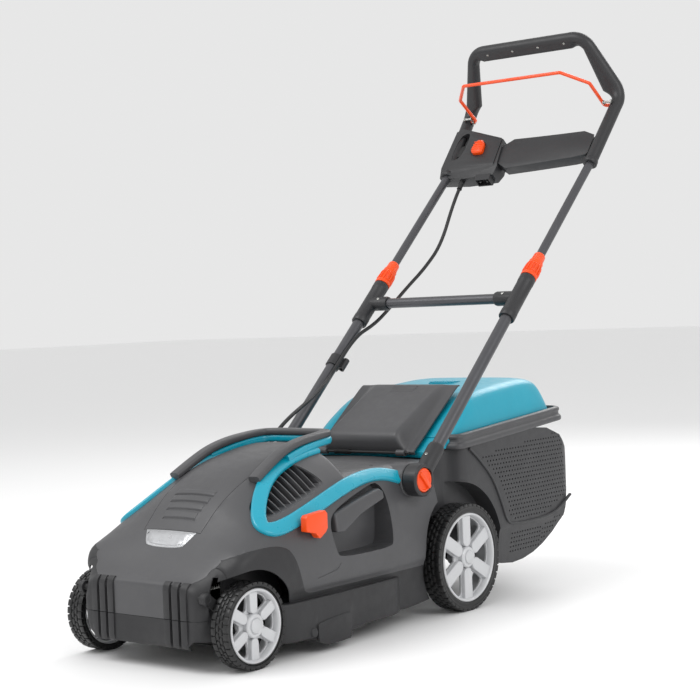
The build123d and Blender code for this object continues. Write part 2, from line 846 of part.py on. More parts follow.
with BuildPart() as collar:
    with BuildSketch(tube_plane(tube_x, tee_end + gap)):
        Circle(18)
    with BuildSketch(tube_plane(tube_x, collar_end)):
        Circle(13)
    loft()
    with BuildSketch(tube_plane(tube_x, tee_end)):
        Circle(13 + fit)
    extrude(amount=25, mode=Mode.SUBTRACT)
    with BuildSketch(tube_plane(tube_x, tee_end)):
        Circle(upper_tube_r + fit)
    extrude(amount=100, mode=Mode.SUBTRACT)
save_pair(collar.part, "clamp_collar")

clip_s = 322.0
with BuildPart() as clip:
    with BuildSketch(tube_plane(-tube_x, clip_s - 14)):
        Circle(lower_tube_r + 3)
        with Locations((21, 8)):
            Circle(cable_r + 3)
        with Locations((13, 5)):
            Rectangle(14, 8, rotation=20)
        Circle(lower_tube_r, mode=Mode.SUBTRACT)
        with Locations((21, 8)):
            Circle(cable_r + fit, mode=Mode.SUBTRACT)
    extrude(amount=28)
save(clip.part, "cable_clip")

# ---------------------------------------------------------------- handle: upper part
upper_end = grip_start + 22
with BuildPart() as upper_tube:
    with BuildSketch(tube_plane(tube_x, upper_tube_start)):
        Circle(upper_tube_r)
        Circle(upper_tube_r - tube_wall, mode=Mode.SUBTRACT)
    extrude(amount=upper_end - upper_tube_start)
save_both(upper_tube.part, "upper_tubes")

screw_r = 3.5
screw_places = [(-110, 0), (-40, 0), (40, 0), (110, 0)]
screw_plane = Plane(origin=at(0, grip_corner[1], grip_corner[2] - grip_r), x_dir=(1, 0, 0), z_dir=(0, 0, -1))
leg_foot = on_tube(tube_x, grip_start)
bend, corner = at(*grip_bend), at(*grip_corner)
with BuildPart() as handlebar:
    with BuildLine() as handlebar_line:
        FilletPolyline(
            leg_foot, bend, corner,
            Vector(-corner.X, corner.Y, corner.Z),
            Vector(-bend.X, bend.Y, bend.Z),
            Vector(-leg_foot.X, leg_foot.Y, leg_foot.Z),
            radius=42,
        )
    with BuildSketch(Plane(origin=handlebar_line.line @ 0, z_dir=handlebar_line.line % 0)):
        Circle(grip_r)
    sweep(path=handlebar_line.line)
    with BuildSketch(screw_plane):
        with Locations(*screw_places):
            Circle(screw_r + gap)
    extrude(amount=-4, mode=Mode.SUBTRACT)
    for facing in (1, -1):
        with BuildSketch(tube_plane(facing * tube_x, grip_start - 20)):
            Circle(upper_tube_r)
        extrude(amount=upper_end - grip_start + 20, mode=Mode.SUBTRACT)
        with BuildSketch(Plane(origin=at(facing * 180, *bail_pivot), z_dir=(facing, 0, 0))):
            Circle(bail_r + fit)
        extrude(amount=22.5, mode=Mode.SUBTRACT)
save(handlebar.part, "handlebar")

leg_angle = atan2(bend.Z - leg_foot.Z, bend.Y - leg_foot.Y)
panel_out = Vector(0, -sin(leg_angle), cos(leg_angle))
panel_plane = Plane(origin=Vector(0, leg_foot.Y, leg_foot.Z), x_dir=(1, 0, 0), z_dir=panel_out)


def panel_block(x_from, x_to, low, high, back, front):
    """A box on the handle: across, along the legs, and out of their plane."""
    with BuildPart() as block:
        with BuildSketch(panel_plane.offset(back)):
            with Locations(((x_from + x_to) / 2, (low + high) / 2)):
                Rectangle(x_to - x_from, high - low)
        extrude(amount=front - back)
    return block.part


box_left_edge, box_right_edge = -62.0, -212.0
with BuildPart() as switch_box:
    add(panel_block(box_right_edge, box_left_edge, 4, 140, -30, 18))
    fillet(switch_box.edges().filter_by(Axis((0, 0, 0), panel_out)), 8)
    add(handlebar.part, mode=Mode.SUBTRACT)
    with BuildSketch(tube_plane(-tube_x, grip_start - 20)):
        Circle(upper_tube_r + 1)
    extrude(amount=60, mode=Mode.SUBTRACT)
    add(panel_block(-174, -66, 10, 134, -27, 14), mode=Mode.SUBTRACT)
    add(panel_block(-143 - gap, -108 + gap, 60 - gap, 94 + gap, 10, 20), mode=Mode.SUBTRACT)
    add(panel_block(-172, -154, 25, 118, 10, 20), mode=Mode.SUBTRACT)
save(switch_box.solids().sort_by(SortBy.VOLUME)[-1], "switch_box")

with BuildPart() as panel:
    add(panel_block(box_left_edge + gap, tube_x + 4, 6, 116, -28, -4))
    add(handlebar.part, mode=Mode.SUBTRACT)
    add(panel_block(box_left_edge + 4, tube_x - 22, 10, 112, -25, -7), mode=Mode.SUBTRACT)
save(panel.solids().sort_by(SortBy.VOLUME)[-1], "cross_panel")

with BuildPart() as safety_button:
    add(panel_block(-143, -108, 60, 94, 8, 24))
    add(panel_block(-147, -104, 56, 98, 6, 9))
save(safety_button.part, "safety_button")

with BuildPart() as microswitch:
    add(panel_block(-150, -100, 60, 94, -27, -13))
save(microswitch.part, "microswitch")

inlet_plane = Plane(origin=panel_plane.from_local_coords(Vector(-86, 4, -6)),
                    x_dir=(1, 0, 0), z_dir=-panel_plane.y_dir)
inlet_width, inlet_height, inlet_depth, inlet_floor = 40.0, 24.0, 24.0, 3.0
with BuildPart() as inlet:
    with BuildSketch(inlet_plane):
        Rectangle(inlet_width, inlet_height)
        Rectangle(inlet_width - 4, inlet_height - 4, mode=Mode.SUBTRACT)
    extrude(amount=inlet_depth)
    with BuildSketch(inlet_plane):
        Rectangle(inlet_width, inlet_height)
        with GridLocations(pin_spacing, 1, 2, 1):
            Circle(pin_root_r, mode=Mode.SUBTRACT)
    extrude(amount=inlet_floor)

with BuildPart() as pins:
    with BuildSketch(inlet_plane):
        with GridLocations(pin_spacing, 1, 2, 1):
            Circle(pin_root_r)
    extrude(amount=inlet_floor)
    with BuildSketch(inlet_plane.offset(inlet_floor)):
        with GridLocations(pin_spacing, 1, 2, 1):
            Circle(pin_r)
    extrude(amount=pin_length)
save(Compound([*inlet.solids(), *pins.solids()]), "mains_inlet")

# ---------------------------------------------------------------- bail
with BuildPart() as bail:
    with BuildLine() as bail_line:
        FilletPolyline(
            at(198, *bail_pivot), at(bail_x, *bail_pivot), at(bail_x, 1210, 1098), at(132, 1159, 1123),
            at(-132, 1159, 1123), at(-bail_x, 1210, 1098), at(-bail_x, *bail_pivot), at(-198, *bail_pivot),
            radius=8,
        )
    with BuildSketch(Plane(origin=bail_line.line @ 0, z_dir=bail_line.line % 0)):
        Circle(bail_r)
    sweep(path=bail_line.line)
save(bail.part, "bail")

spring(at(-183, *bail_pivot), (-1, 0, 0), 6.2, 0.8, 6, 3, "bail_spring")

# ---------------------------------------------------------------- cable
relief_start = panel_plane.from_local_coords(Vector(-150, 4, -6))
relief_end = relief_start - panel_plane.y_dir * 38
with BuildPart() as relief:
    with BuildSketch(Plane(origin=relief_start, z_dir=relief_end - relief_start)):
        Circle(9)
    with BuildSketch(Plane(origin=relief_end, z_dir=relief_end - relief_start)):
        Circle(6)
    loft()
save(relief.part, "strain_relief")

clip_out = on_tube(-tube_x, clip_s) + Vector(21, 0, 0) + tube_up * 8
upper_route = [
    relief_end,
    relief_end + (relief_end - relief_start).normalized() * 40,
    at(-156, 1078, 750),
    at(-164, 1020, 695),
    at(-172, 960, 652),
    at(-174, 895, 607),
    at(-171, 832, 571),
    clip_out + tube_dir * 70,
    clip_out,
]
lower_route = [
    clip_out,
    clip_out - tube_dir * 40,
    at(-160, 640, 452),
    at(-146, 585, 428),
    at(-132, 525, 409),
    at(-120, 465, 388),
    at(-112, 415, 362),
    at(-108, 390, 335),
    at(*cable_entry, 300),
]


def cable(route, name):
    """A round cable along straight runs joined by the largest arcs that its runs allow."""
    radii = []
    for before, here, after in zip(route, route[1:], route[2:]):
        run_in, run_out = here - before, after - here
        half_turn = radians(run_in.get_angle(run_out)) / 2
        radii.append(0.45 * min(run_in.length, run_out.length) / tan(half_turn))
    print(name, "radii", [round(radius) for radius in radii])
    with BuildPart() as lead:
        with BuildLine() as lead_line:
            FilletPolyline(*route, radius=radii)
        with BuildSketch(Plane(origin=lead_line.line @ 0, z_dir=lead_line.line % 0)):
            Circle(cable_r)
        sweep(path=lead_line.line)
    save(lead.part, name)
    length = sum(edge.length for edge in lead_line.line.edges())
    print(name, "length", round(length), "volume ratio",
          round(lead.part.volume / (length * 3.14159 * cable_r ** 2), 4))


cable(upper_route, "cable_upper")
cable(lower_route, "cable_lower")

# ---------------------------------------------------------------- grass box
box_side = [(box_start, 168), (765, 58), (925, 70), (1048, 173), (1020, 354.5), (622, 322.5),
            (602, 304), (box_start, 304)]


def box_part(inset, top_extra, y_from, half_width):
    """The grass box's side outline across one width, kept from y_from back."""
    points = [(y, z + (top_extra if z > 300 else 0)) for y, z in box_side]
    with BuildPart() as piece:
        with BuildSketch(side_at(-half_width + inset)):
            with BuildLine():
                Polyline(*points, close=True)
            make_face()
            if inset:
                offset(amount=-inset, kind=Kind.INTERSECTION, mode=Mode.REPLACE)
        extrude(amount=2 * (half_width - inset))
        with BuildSketch(side_at(-300)):
            with Locations((y_from + inset + 300, 300)):
                Rectangle(600, 900)
        extrude(amount=600, mode=Mode.INTERSECT)
    return piece.part


def box_form(inset, top_extra):
    """The grass box's block, smaller by inset, its top raised by top_extra."""
    front = box_part(inset, top_extra, box_start, box_front_half)
    back = box_part(inset, top_extra, box_full_from, box_half)
    with BuildPart() as form:
        add(front)
        add(back)
        for facing in (1, -1):
            with BuildSketch(side_at(facing * (154 - inset))):
                with Locations((rear_axle, rear_wheel_r)):
                    Circle(arch_box_r + inset)
            extrude(amount=facing * 100, mode=Mode.SUBTRACT)
    return form.part


rim_plane = Plane(origin=at(0, 625, 322), x_dir=(1, 0, 0),
                  z_dir=(0, -sin(radians(rim_slope)), cos(radians(rim_slope))))
with BuildPart() as grass_box:
    add(box_form(0, 0))
    add(box_form(wall, 60), mode=Mode.SUBTRACT)
    with BuildSketch(across(box_start + 10)):
        with Locations((0, 231)):
            Rectangle(2 * chute_half_width, 114)
    extrude(amount=30, mode=Mode.SUBTRACT)
    with BuildSketch(rim_plane):
        with Locations((0, 199)):
            Rectangle(2 * box_half + 6, 398)
        with Locations((0, 187)):
            Rectangle(2 * box_half - 24, 398, mode=Mode.SUBTRACT)
    extrude(amount=14)
save(grass_box.part, "grass_box")

lid_side = [(574, 316), (700, 411), (760, 424), (975, 440), (1006, 366), (640, 337)]


def lid_form(inset):
    """The raised lid as a block, smaller by inset."""
    with BuildPart() as form:
        with BuildSketch(side_at(-200)):
            with BuildLine():
                Polyline(*lid_side, close=True)
            make_face()
            if inset:
                offset(amount=-inset, kind=Kind.INTERSECTION, mode=Mode.REPLACE)
        extrude(amount=400)
        with BuildSketch(across(500)):
            with BuildLine():
                Polyline((176 - inset, 300), (178 - inset, 350), (150 - inset, 450), (inset - 150, 450),
                         (inset - 178, 350), (inset - 176, 300), close=True)
            make_face()
        extrude(amount=-600, mode=Mode.INTERSECT)
        with BuildSketch(level(200)):
            with BuildLine():
                Polyline((148 - inset, 560), (178 - inset, 640), (178 - inset, 980), (140, 1020),
                         (-140, 1020), (inset - 178, 980), (inset - 178, 640), (inset - 148, 560), close=True)
            make_face()
        extrude(amount=400, mode=Mode.INTERSECT)
    return form.part


with BuildPart() as lid:
    add(lid_form(0))
    add(box_form(-gap, 0), mode=Mode.SUBTRACT)
    add(lid_form(wall), mode=Mode.SUBTRACT)
save(lid.part, "grass_box_lid")

with BuildPart() as fill_flap:
    with BuildSketch(Plane(origin=at(0, 850, 432.5), x_dir=(1, 0, 0),
                           z_dir=(0, -sin(radians(4.3)), cos(radians(4.3))))):
        Rectangle(70, 40)
    extrude(amount=4)
save(fill_flap.part, "fill_flap")

# ---------------------------------------------------------------- fasteners
with BuildPart() as handlebar_screws:
    with BuildSketch(screw_plane.offset(-4)):
        with Locations(*screw_places):
            Circle(screw_r)
    extrude(amount=2.5)
save(handlebar_screws.part, "handlebar_screws")
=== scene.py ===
"""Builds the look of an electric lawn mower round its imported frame.

Millimetres are counted as the frame's source counts them: across from the middle, back from
the front axle, and up from the floor. Meshes are in metres in the frame's own coordinates.
"""

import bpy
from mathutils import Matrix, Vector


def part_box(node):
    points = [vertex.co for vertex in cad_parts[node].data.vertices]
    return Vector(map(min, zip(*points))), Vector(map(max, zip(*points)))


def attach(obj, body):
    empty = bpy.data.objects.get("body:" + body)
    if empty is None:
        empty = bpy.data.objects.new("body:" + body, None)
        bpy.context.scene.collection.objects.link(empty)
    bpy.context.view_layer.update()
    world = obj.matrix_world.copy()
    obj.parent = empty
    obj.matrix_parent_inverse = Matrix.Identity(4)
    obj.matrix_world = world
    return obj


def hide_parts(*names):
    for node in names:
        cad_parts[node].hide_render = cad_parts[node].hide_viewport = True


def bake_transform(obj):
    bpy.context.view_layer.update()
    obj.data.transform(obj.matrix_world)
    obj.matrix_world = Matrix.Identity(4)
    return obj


bl_info = {
    "name": "Electric lawn mower",
    "version": (1, 0, 0),
    "blender": (4, 5, 0),
    "location": "View3D > Sidebar > Mower",
    "description": "Builds the covers, wheels, handle and grass box of a lawn mower",
    "category": "Object",
}

from math import cos, pi, radians, sin

import bmesh
import bpy
import numpy as np
from bpy.props import FloatProperty, FloatVectorProperty, IntProperty, PointerProperty
from mathutils import Matrix, Vector
from mathutils.bvhtree import BVHTree

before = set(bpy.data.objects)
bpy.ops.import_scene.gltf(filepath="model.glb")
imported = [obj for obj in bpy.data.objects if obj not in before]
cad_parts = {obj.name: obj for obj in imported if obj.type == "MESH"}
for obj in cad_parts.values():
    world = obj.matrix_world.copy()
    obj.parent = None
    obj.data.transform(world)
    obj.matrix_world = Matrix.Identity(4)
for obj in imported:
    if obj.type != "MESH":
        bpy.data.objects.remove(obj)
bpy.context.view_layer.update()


def middle(node, axis):
    """The middle of a frame node along one axis."""
    low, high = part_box(node)
    return (low[axis] + high[axis]) / 2


AXLE_Y = middle("front_tyre_left", 1)
UP = Vector((0, 0, 1))
ACROSS = Vector((1, 0, 0))
HANDLE_ANGLE = radians(42.8)
TUBE = Vector((0, cos(HANDLE_ANGLE), sin(HANDLE_ANGLE)))
TUBE_X = 195.0
PIVOT = (479.0, 273.0)
HOUSING = (0.0, 225.0)
WHEELBASE = 613.0


def place(x, y, z):
    """A point in metres from its millimetres across, behind the front axle, and up."""
    return Vector((x / 1000, y / 1000 + AXLE_Y, z / 1000))


def on_tube(x, s):
    """A point s along a handle tube from the fold pivot's height, in metres."""
    return place(x, *PIVOT) + TUBE * (s / 1000)


def linear(red, green, blue):
    """A screen colour of 0 to 255 as linear light."""
    shares = (channel / 255 for channel in (red, green, blue))
    return tuple(s / 12.92 if s < 0.04045 else ((s + 0.055) / 1.055) ** 2.4 for s in shares)


# ---------------------------------------------------------------- settings
def colour_setting(name, description, rgb):
    return FloatVectorProperty(name=name, description=description, subtype="COLOR",
                               default=linear(*rgb), min=0, max=1)


def length_setting(name, description, default):
    return FloatProperty(name=name, description=description, default=default, min=0,
                         subtype="DISTANCE", unit="LENGTH")


class MowerColours(bpy.types.PropertyGroup):
    cover: colour_setting("Covers", "Moulded covers and hood", (70, 70, 72))
    skirt: colour_setting("Deck", "Deck, bumper and grass box", (33, 33, 35))
    trim: colour_setting("Trim", "Trim bands, handle underside and lid", (0, 152, 176))
    control: colour_setting("Controls", "Knobs, collars, buttons and bail", (238, 74, 0))
    rim: colour_setting("Rims", "Wheel rims", (196, 197, 199))
    tube: colour_setting("Tubes", "Painted handle tubes", (84, 84, 87))
    grip: colour_setting("Grip", "Handlebar and switch housing", (38, 38, 40))
    tyre: colour_setting("Tyres", "Rubber", (19, 19, 20))


class MowerSizes(bpy.types.PropertyGroup):
    front_blocks: IntProperty(name="Front tread blocks", description="Blocks round a front tyre",
                              default=34, min=8, max=80)
    rear_blocks: IntProperty(name="Rear tread blocks", description="Blocks round a rear tyre",
                             default=44, min=8, max=80)
    block_height: length_setting("Tread height", "Height of a tread block", 0.0022)
    slats: IntProperty(name="Vent slats", description="Slats in each side vent", default=11,
                       min=3, max=30)
    hole_pitch: length_setting("Hole pitch", "Spacing of the grass box's holes", 0.0105)
    hole_radius: length_setting("Hole radius", "Radius of the grass box's holes", 0.0022)
    collar_ribs: IntProperty(name="Collar ribs", description="Grip ribs round a collar",
                             default=14, min=4, max=40)


# ---------------------------------------------------------------- mesh helpers
def new_piece(name, points, faces):
    """A mesh object at the origin with its place in its points, in metres."""
    mesh = bpy.data.meshes.new(name)
    mesh.from_pydata([tuple(p) for p in points], [], faces)
    mesh.update()
    piece = bpy.data.objects.new(name, mesh)
    bpy.context.scene.collection.objects.link(piece)
    return piece


def face_out(piece):
    """Merges doubles and turns every face of a closed piece outwards."""
    work = bmesh.new()
    work.from_mesh(piece.data)
    bmesh.ops.remove_doubles(work, verts=work.verts, dist=1e-6)
    bmesh.ops.recalc_face_normals(work, faces=work.faces)
    work.to_mesh(piece.data)
    work.free()
    return piece


def settle(piece):
    """Turns a piece's modifiers into plain mesh."""
    graph = bpy.context.evaluated_depsgraph_get()
    mesh = bpy.data.meshes.new_from_object(piece.evaluated_get(graph))
    piece.modifiers.clear()
    piece.data = mesh
    return piece


def softened(piece, width, segments=2, angle=30.0):
    """Rounds a piece's edges that are sharper than an angle, in metres and degrees."""
    bevel = piece.modifiers.new("edges", "BEVEL")
    bevel.width, bevel.segments = width, segments
    bevel.limit_method, bevel.angle_limit = "ANGLE", radians(angle)
    return settle(piece)


def on_side(facing, near, far):
    """Two distances from the middle, on the left side (1) or the right side (-1), in rising order."""
    return sorted((facing * near, facing * far))


def twin(piece, name):
    """A copy of a piece."""
    other = bpy.data.objects.new(name, piece.data.copy())
    bpy.context.scene.collection.objects.link(other)
    return other


def carve(piece, cutter, operation="DIFFERENCE", keep=False):
    """Cuts, joins or trims a closed piece with another."""
    change = piece.modifiers.new("carve", "BOOLEAN")
    change.object, change.operation, change.solver = cutter, operation, "MANIFOLD"
    settle(piece)
    if not keep:
        bpy.data.objects.remove(cutter)
    return piece


def mirrored(piece, name=None):
    """The piece's mirror image on the other side, facing outwards."""
    other = twin(piece, name or piece.name + "_mirror")
    other.data.transform(Matrix.Diagonal((-1, 1, 1, 1)))
    other.data.flip_normals()
    return other


def joined(name, *pieces):
    """Several pieces as one object."""
    work = bmesh.new()
    for piece in pieces:
        work.from_mesh(piece.data)
    mesh = bpy.data.meshes.new(name)
    work.to_mesh(mesh)
    work.free()
    for piece in pieces:
        bpy.data.objects.remove(piece)
    whole = bpy.data.objects.new(name, mesh)
    bpy.context.scene.collection.objects.link(whole)
    return whole


def both_sides(piece, name):
    """A piece and its mirror image as one object."""
    return joined(name, mirrored(piece), piece)


def rounded(points, rounds, closed=False):
    """Control points as a smooth line, by cutting corners. Ends stay."""
    points = np.asarray(points, float)
    for _ in range(rounds):
        ahead = np.roll(points, -1, axis=0) if closed else points[1:]
        here = points if closed else points[:-1]
        cut = np.stack([0.75 * here + 0.25 * ahead, 0.25 * here + 0.75 * ahead], axis=1)
        cut = cut.reshape((-1,) + points.shape[1:])
        if not closed:
            cut[0], cut[-1] = points[0], points[-1]
        points = cut
    return points


def block_between(name, outline, low, high, point):
    """A closed block from a flat outline; point gives the place of (u, v, depth)."""
    count = len(outline)
    points = [point(u, v, depth) for depth in (low, high) for u, v in outline]
    faces = [(i, (i + 1) % count, (i + 1) % count + count, i + count) for i in range(count)]
    faces += [tuple(range(count - 1, -1, -1)), tuple(range(count, 2 * count))]
    return face_out(new_piece(name, points, faces))


def side_block(name, outline, x_low, x_high):
    """A block whose outline is seen from the side: (behind the axle, up)."""
    return block_between(name, outline, x_low, x_high, lambda u, v, d: place(d, u, v))


def plan_block(name, outline, z_low, z_high):
    """A block whose outline is seen from above: (across, behind the axle)."""
    return block_between(name, outline, z_low, z_high, lambda u, v, d: place(u, v, d))


def ring_of(radius, count, centre=(0, 0)):
    """A circle as an outline."""
    return [(centre[0] + radius * cos(2 * pi * i / count), centre[1] + radius * sin(2 * pi * i / count))
            for i in range(count)]


def turned(name, profile, origin, axis, count=48):
    """A closed body turned round an axis: profile is (radius, distance along), in millimetres."""
    axis = axis.normalized()
    out = axis.orthogonal().normalized()
    over = axis.cross(out)
    points, rows = [], []
    for radius, along in profile:
        centre = origin + axis * (along / 1000)
        if radius <= 0:
            rows.append([len(points)] * count)
            points.append(centre)
            continue
        rows.append(list(range(len(points), len(points) + count)))
        points += [centre + (out * cos(2 * pi * i / count) + over * sin(2 * pi * i / count)) * (radius / 1000)
                   for i in range(count)]
    faces = []
    closed = profile[0][0] > 0 and profile[-1][0] > 0
    pairs = list(zip(rows, rows[1:])) + ([(rows[-1], rows[0])] if closed else [])
    for first, second in pairs:
        for i in range(count):
            j = (i + 1) % count
            face = []
            for corner in (first[i], first[j], second[j], second[i]):
                if corner not in face:
                    face.append(corner)
            if len(face) > 2:
                faces.append(tuple(face))
    return face_out(new_piece(name, points, faces))


def swept(name, path, section, up, closed=False):
    """A closed band: section is (sideways, upwards) in millimetres, up is a vector or a list."""
    path = [Vector(p) for p in path]
    count, size = len(path), len(section)
    points = []
    for i, here in enumerate(path):
        before = path[i - 1] if closed or i else here
        after = path[(i + 1) % count] if closed or i < count - 1 else here
        ahead = (after - before).normalized()
        high = up[i] if isinstance(up, list) else up
        sideways = ahead.cross(high).normalized()
        high = sideways.cross(ahead).normalized()
        points += [here + sideways * (u / 1000) + high * (v / 1000) for u, v in section]
    faces = []
    for i in range(count if closed else count - 1):
        j = (i + 1) % count
        for k in range(size):
            m = (k + 1) % size
            faces.append((i * size + k, i * size + m, j * size + m, j * size + k))
    if not closed:
        faces += [tuple(range(size - 1, -1, -1)), tuple(range((count - 1) * size, count * size))]
    return face_out(new_piece(name, points, faces))


def soft_rectangle(width, height, radius, steps=4, lift=0.0):
    """A rectangle with round corners, centred across and lifted by lift."""
    outline = []
    for turn, (cx, cy) in enumerate(((1, 1), (-1, 1), (-1, -1), (1, -1))):
        for i in range(steps + 1):
            angle = (turn + i / steps) * pi / 2
            outline.append((cx * (width / 2 - radius) + radius * cos(angle),
                            cy * (height / 2 - radius) + radius * sin(angle) + lift))
    return outline


def grid_body(name, rows):
    """A closed body from rings of the same number of points, in metres."""
    size = len(rows[0])
    points = [p for row in rows for p in row]
    faces = [(i * size + k, i * size + (k + 1) % size, (i + 1) * size + (k + 1) % size,
              (i + 1) * size + k)
             for i in range(len(rows) - 1) for k in range(size)]
    last = (len(rows) - 1) * size
    faces += [tuple(range(size - 1, -1, -1)), tuple(range(last, last + size))]
    return face_out(new_piece(name, points, faces))


def lofted(name, stations, inset=0.0, drop=0.0, end_inset=0.0, across=3, along=3):
    """A closed body through half outlines: (back, (across, up)..., up on the middle line)."""
    grid = []
    for number, station in enumerate(stations):
        back = station[0] + (end_inset if number == 0 else 0) - (end_inset if number == len(stations) - 1 else 0)
        half = [(x - inset, z - inset) for x, z in station[1:-1]]
        half[0] = (half[0][0], station[1][1] - drop)
        full = half + [(0, station[-1] - inset)] + [(-x, z) for x, z in reversed(half)]
        grid.append([(x, back, z) for x, z in full])
    grid = rounded(np.asarray(grid, float), along)
    grid = rounded(grid.transpose(1, 0, 2), across).transpose(1, 0, 2)
    return grid_body(name, [[place(*p) for p in row] for row in grid])


def made_by(tree, piece, **values):
    """Runs a node tree on a piece and keeps the plain mesh."""
    change = piece.modifiers.new(tree.name, "NODES")
    change.node_group = tree
    for item in tree.interface.items_tree:
        if item.item_type == "SOCKET" and item.in_out == "INPUT" and item.name in values:
            change[item.identifier] = values[item.name]
    return settle(piece)


# ---------------------------------------------------------------- finishes
def finish(name, colour, rough, metal=0.0, grain=0.12, grain_scale=2600.0, mottle=0.06,
           edge=0.0008, worn=0.25, coat=0.0, scratches=0.0):
    """A finish with grain, faint mottling, varied gloss and edges rubbed a little lighter."""
    material = bpy.data.materials.new(name)
    material.use_nodes = True
    tree = material.node_tree
    nodes, link = tree.nodes, tree.links.new
    shader = nodes["Principled BSDF"]
    shader.inputs["Metallic"].default_value = metal
    shader.inputs["Coat Weight"].default_value = coat
    shader.inputs["Coat Roughness"].default_value = 0.12
    where = nodes.new("ShaderNodeTexCoord")

    def noise(scale, detail):
        field = nodes.new("ShaderNodeTexNoise")
        field.inputs["Scale"].default_value = scale
        field.inputs["Detail"].default_value = detail
        link(where.outputs["Object"], field.inputs["Vector"])
        return field.outputs["Fac"]

    def ranged(value, low, high, start=0.3, end=0.7):
        spread = nodes.new("ShaderNodeMapRange")
        for socket, number in (("From Min", start), ("From Max", end), ("To Min", low), ("To Max", high)):
            spread.inputs[socket].default_value = number
        link(value, spread.inputs["Value"])
        return spread.outputs["Result"]

    def mixed(factor, first, second):
        blend = nodes.new("ShaderNodeMix")
        blend.data_type = "RGBA"
        if isinstance(factor, float):
            blend.inputs["Factor"].default_value = factor
        else:
            link(factor, blend.inputs["Factor"])
        for socket, value in (("A", first), ("B", second)):
            target = next(s for s in blend.inputs if s.name == socket and s.type == "RGBA")
            if isinstance(value, tuple):
                target.default_value = value + (1,)
            else:
                link(value, target)
        return next(s for s in blend.outputs if s.type == "RGBA")

    dark = tuple(c * (1 - mottle) for c in colour)
    light = tuple(min(1.0, c * (1 + mottle)) for c in colour)
    base = mixed(ranged(noise(14.0, 4.0), 0.0, 1.0), dark, light)
    soft_edge = nodes.new("ShaderNodeBevel")
    soft_edge.samples = 4
    soft_edge.inputs["Radius"].default_value = edge
    if worn:
        shape = nodes.new("ShaderNodeNewGeometry")
        match = nodes.new("ShaderNodeVectorMath")
        match.operation = "DOT_PRODUCT"
        link(shape.outputs["Normal"], match.inputs[0])
        link(soft_edge.outputs["Normal"], match.inputs[1])
        rubbed = ranged(match.outputs["Value"], worn, 0.0, 0.90, 0.995)
        base = mixed(rubbed, base, tuple(min(1.0, c * 1.5 + 0.03) for c in colour))
    link(base, shader.inputs["Base Color"])
    gloss = ranged(noise(55.0, 3.0), rough - 0.05, rough + 0.06)
    link(gloss, shader.inputs["Roughness"])
    bump = nodes.new("ShaderNodeBump")
    bump.inputs["Strength"].default_value = grain
    bump.inputs["Distance"].default_value = 0.0004
    link(noise(grain_scale, 2.0), bump.inputs["Height"])
    link(soft_edge.outputs["Normal"], bump.inputs["Normal"])
    normal = bump.outputs["Normal"]
    if scratches:
        lines = nodes.new("ShaderNodeTexNoise")
        stretch = nodes.new("ShaderNodeMapping")
        stretch.inputs["Scale"].default_value = (30.0, 900.0, 900.0)
        link(where.outputs["Object"], stretch.inputs["Vector"])
        link(stretch.outputs["Vector"], lines.inputs["Vector"])
        brushed = nodes.new("ShaderNodeBump")
        brushed.inputs["Strength"].default_value = scratches
        brushed.inputs["Distance"].default_value = 0.0003
        link(lines.outputs["Fac"], brushed.inputs["Height"])
        link(normal, brushed.inputs["Normal"])
        normal = brushed.outputs["Normal"]
    link(normal, shader.inputs["Normal"])
    return material


FINISHES = {}


def make_finishes(colours):
    """Makes every finish once from the colour settings."""
    def of(setting):
        return tuple(getattr(colours, setting))

    FINISHES.update(
        cover=finish("moulded cover", of("cover"), 0.42, grain=0.16, worn=0.3),
        skirt=finish("moulded deck", of("skirt"), 0.50, grain=0.22, grain_scale=1700.0, worn=0.25),
        basket=finish("moulded grass box", linear(50, 50, 52), 0.46, grain=0.3, grain_scale=1300.0,
                      worn=0.3),
        trim=finish("glossy trim", of("trim"), 0.30, grain=0.05, mottle=0.03, worn=0.35, coat=0.25),
        lid=finish("lid plastic", of("trim"), 0.36, grain=0.10, mottle=0.03, worn=0.35, coat=0.1),
        control=finish("control plastic", of("control"), 0.36, grain=0.08, mottle=0.03, worn=0.3),
        bail=finish("coated wire", of("control"), 0.30, grain=0.04, mottle=0.05, worn=0.0, coat=0.3),
        rim=finish("rim paint", of("rim"), 0.34, metal=0.15, grain=0.10, grain_scale=3200.0,
                   mottle=0.03, worn=0.2, coat=0.15),
        plate=finish("silver plate", linear(176, 177, 179), 0.30, metal=0.75, grain=0.08, mottle=0.04,
                     worn=0.4, scratches=0.10),
        tube=finish("tube paint", of("tube"), 0.34, metal=0.55, grain=0.10, grain_scale=3400.0,
                    mottle=0.05, worn=0.0),
        grip=finish("grip plastic", of("grip"), 0.44, grain=0.25, grain_scale=1900.0, worn=0.3),
        tyre=finish("tyre rubber", of("tyre"), 0.40, grain=0.30, grain_scale=900.0, mottle=0.25,
                    worn=0.4),
        inner=finish("inner moulding", linear(26, 26, 27), 0.6, grain=0.3, worn=0.0),
        steel=finish("blade steel", linear(150, 152, 155), 0.30, metal=1.0, mottle=0.12, worn=0.3,
                     scratches=0.25),
        zinc=finish("zinc plate", linear(176, 176, 172), 0.28, metal=1.0, mottle=0.15, worn=0.2),
        winding=finish("copper windings", linear(150, 84, 48), 0.35, metal=0.9, mottle=0.2,
                       worn=0.2, scratches=0.5),
        casting=finish("motor casting", linear(150, 151, 150), 0.5, metal=0.8, grain=0.5, worn=0.3),
        cable=finish("cable rubber", linear(24, 24, 25), 0.48, grain=0.2, mottle=0.1, worn=0.0),
        sleeve=finish("capacitor sleeve", linear(206, 208, 206), 0.4, mottle=0.05, worn=0.1),
    )


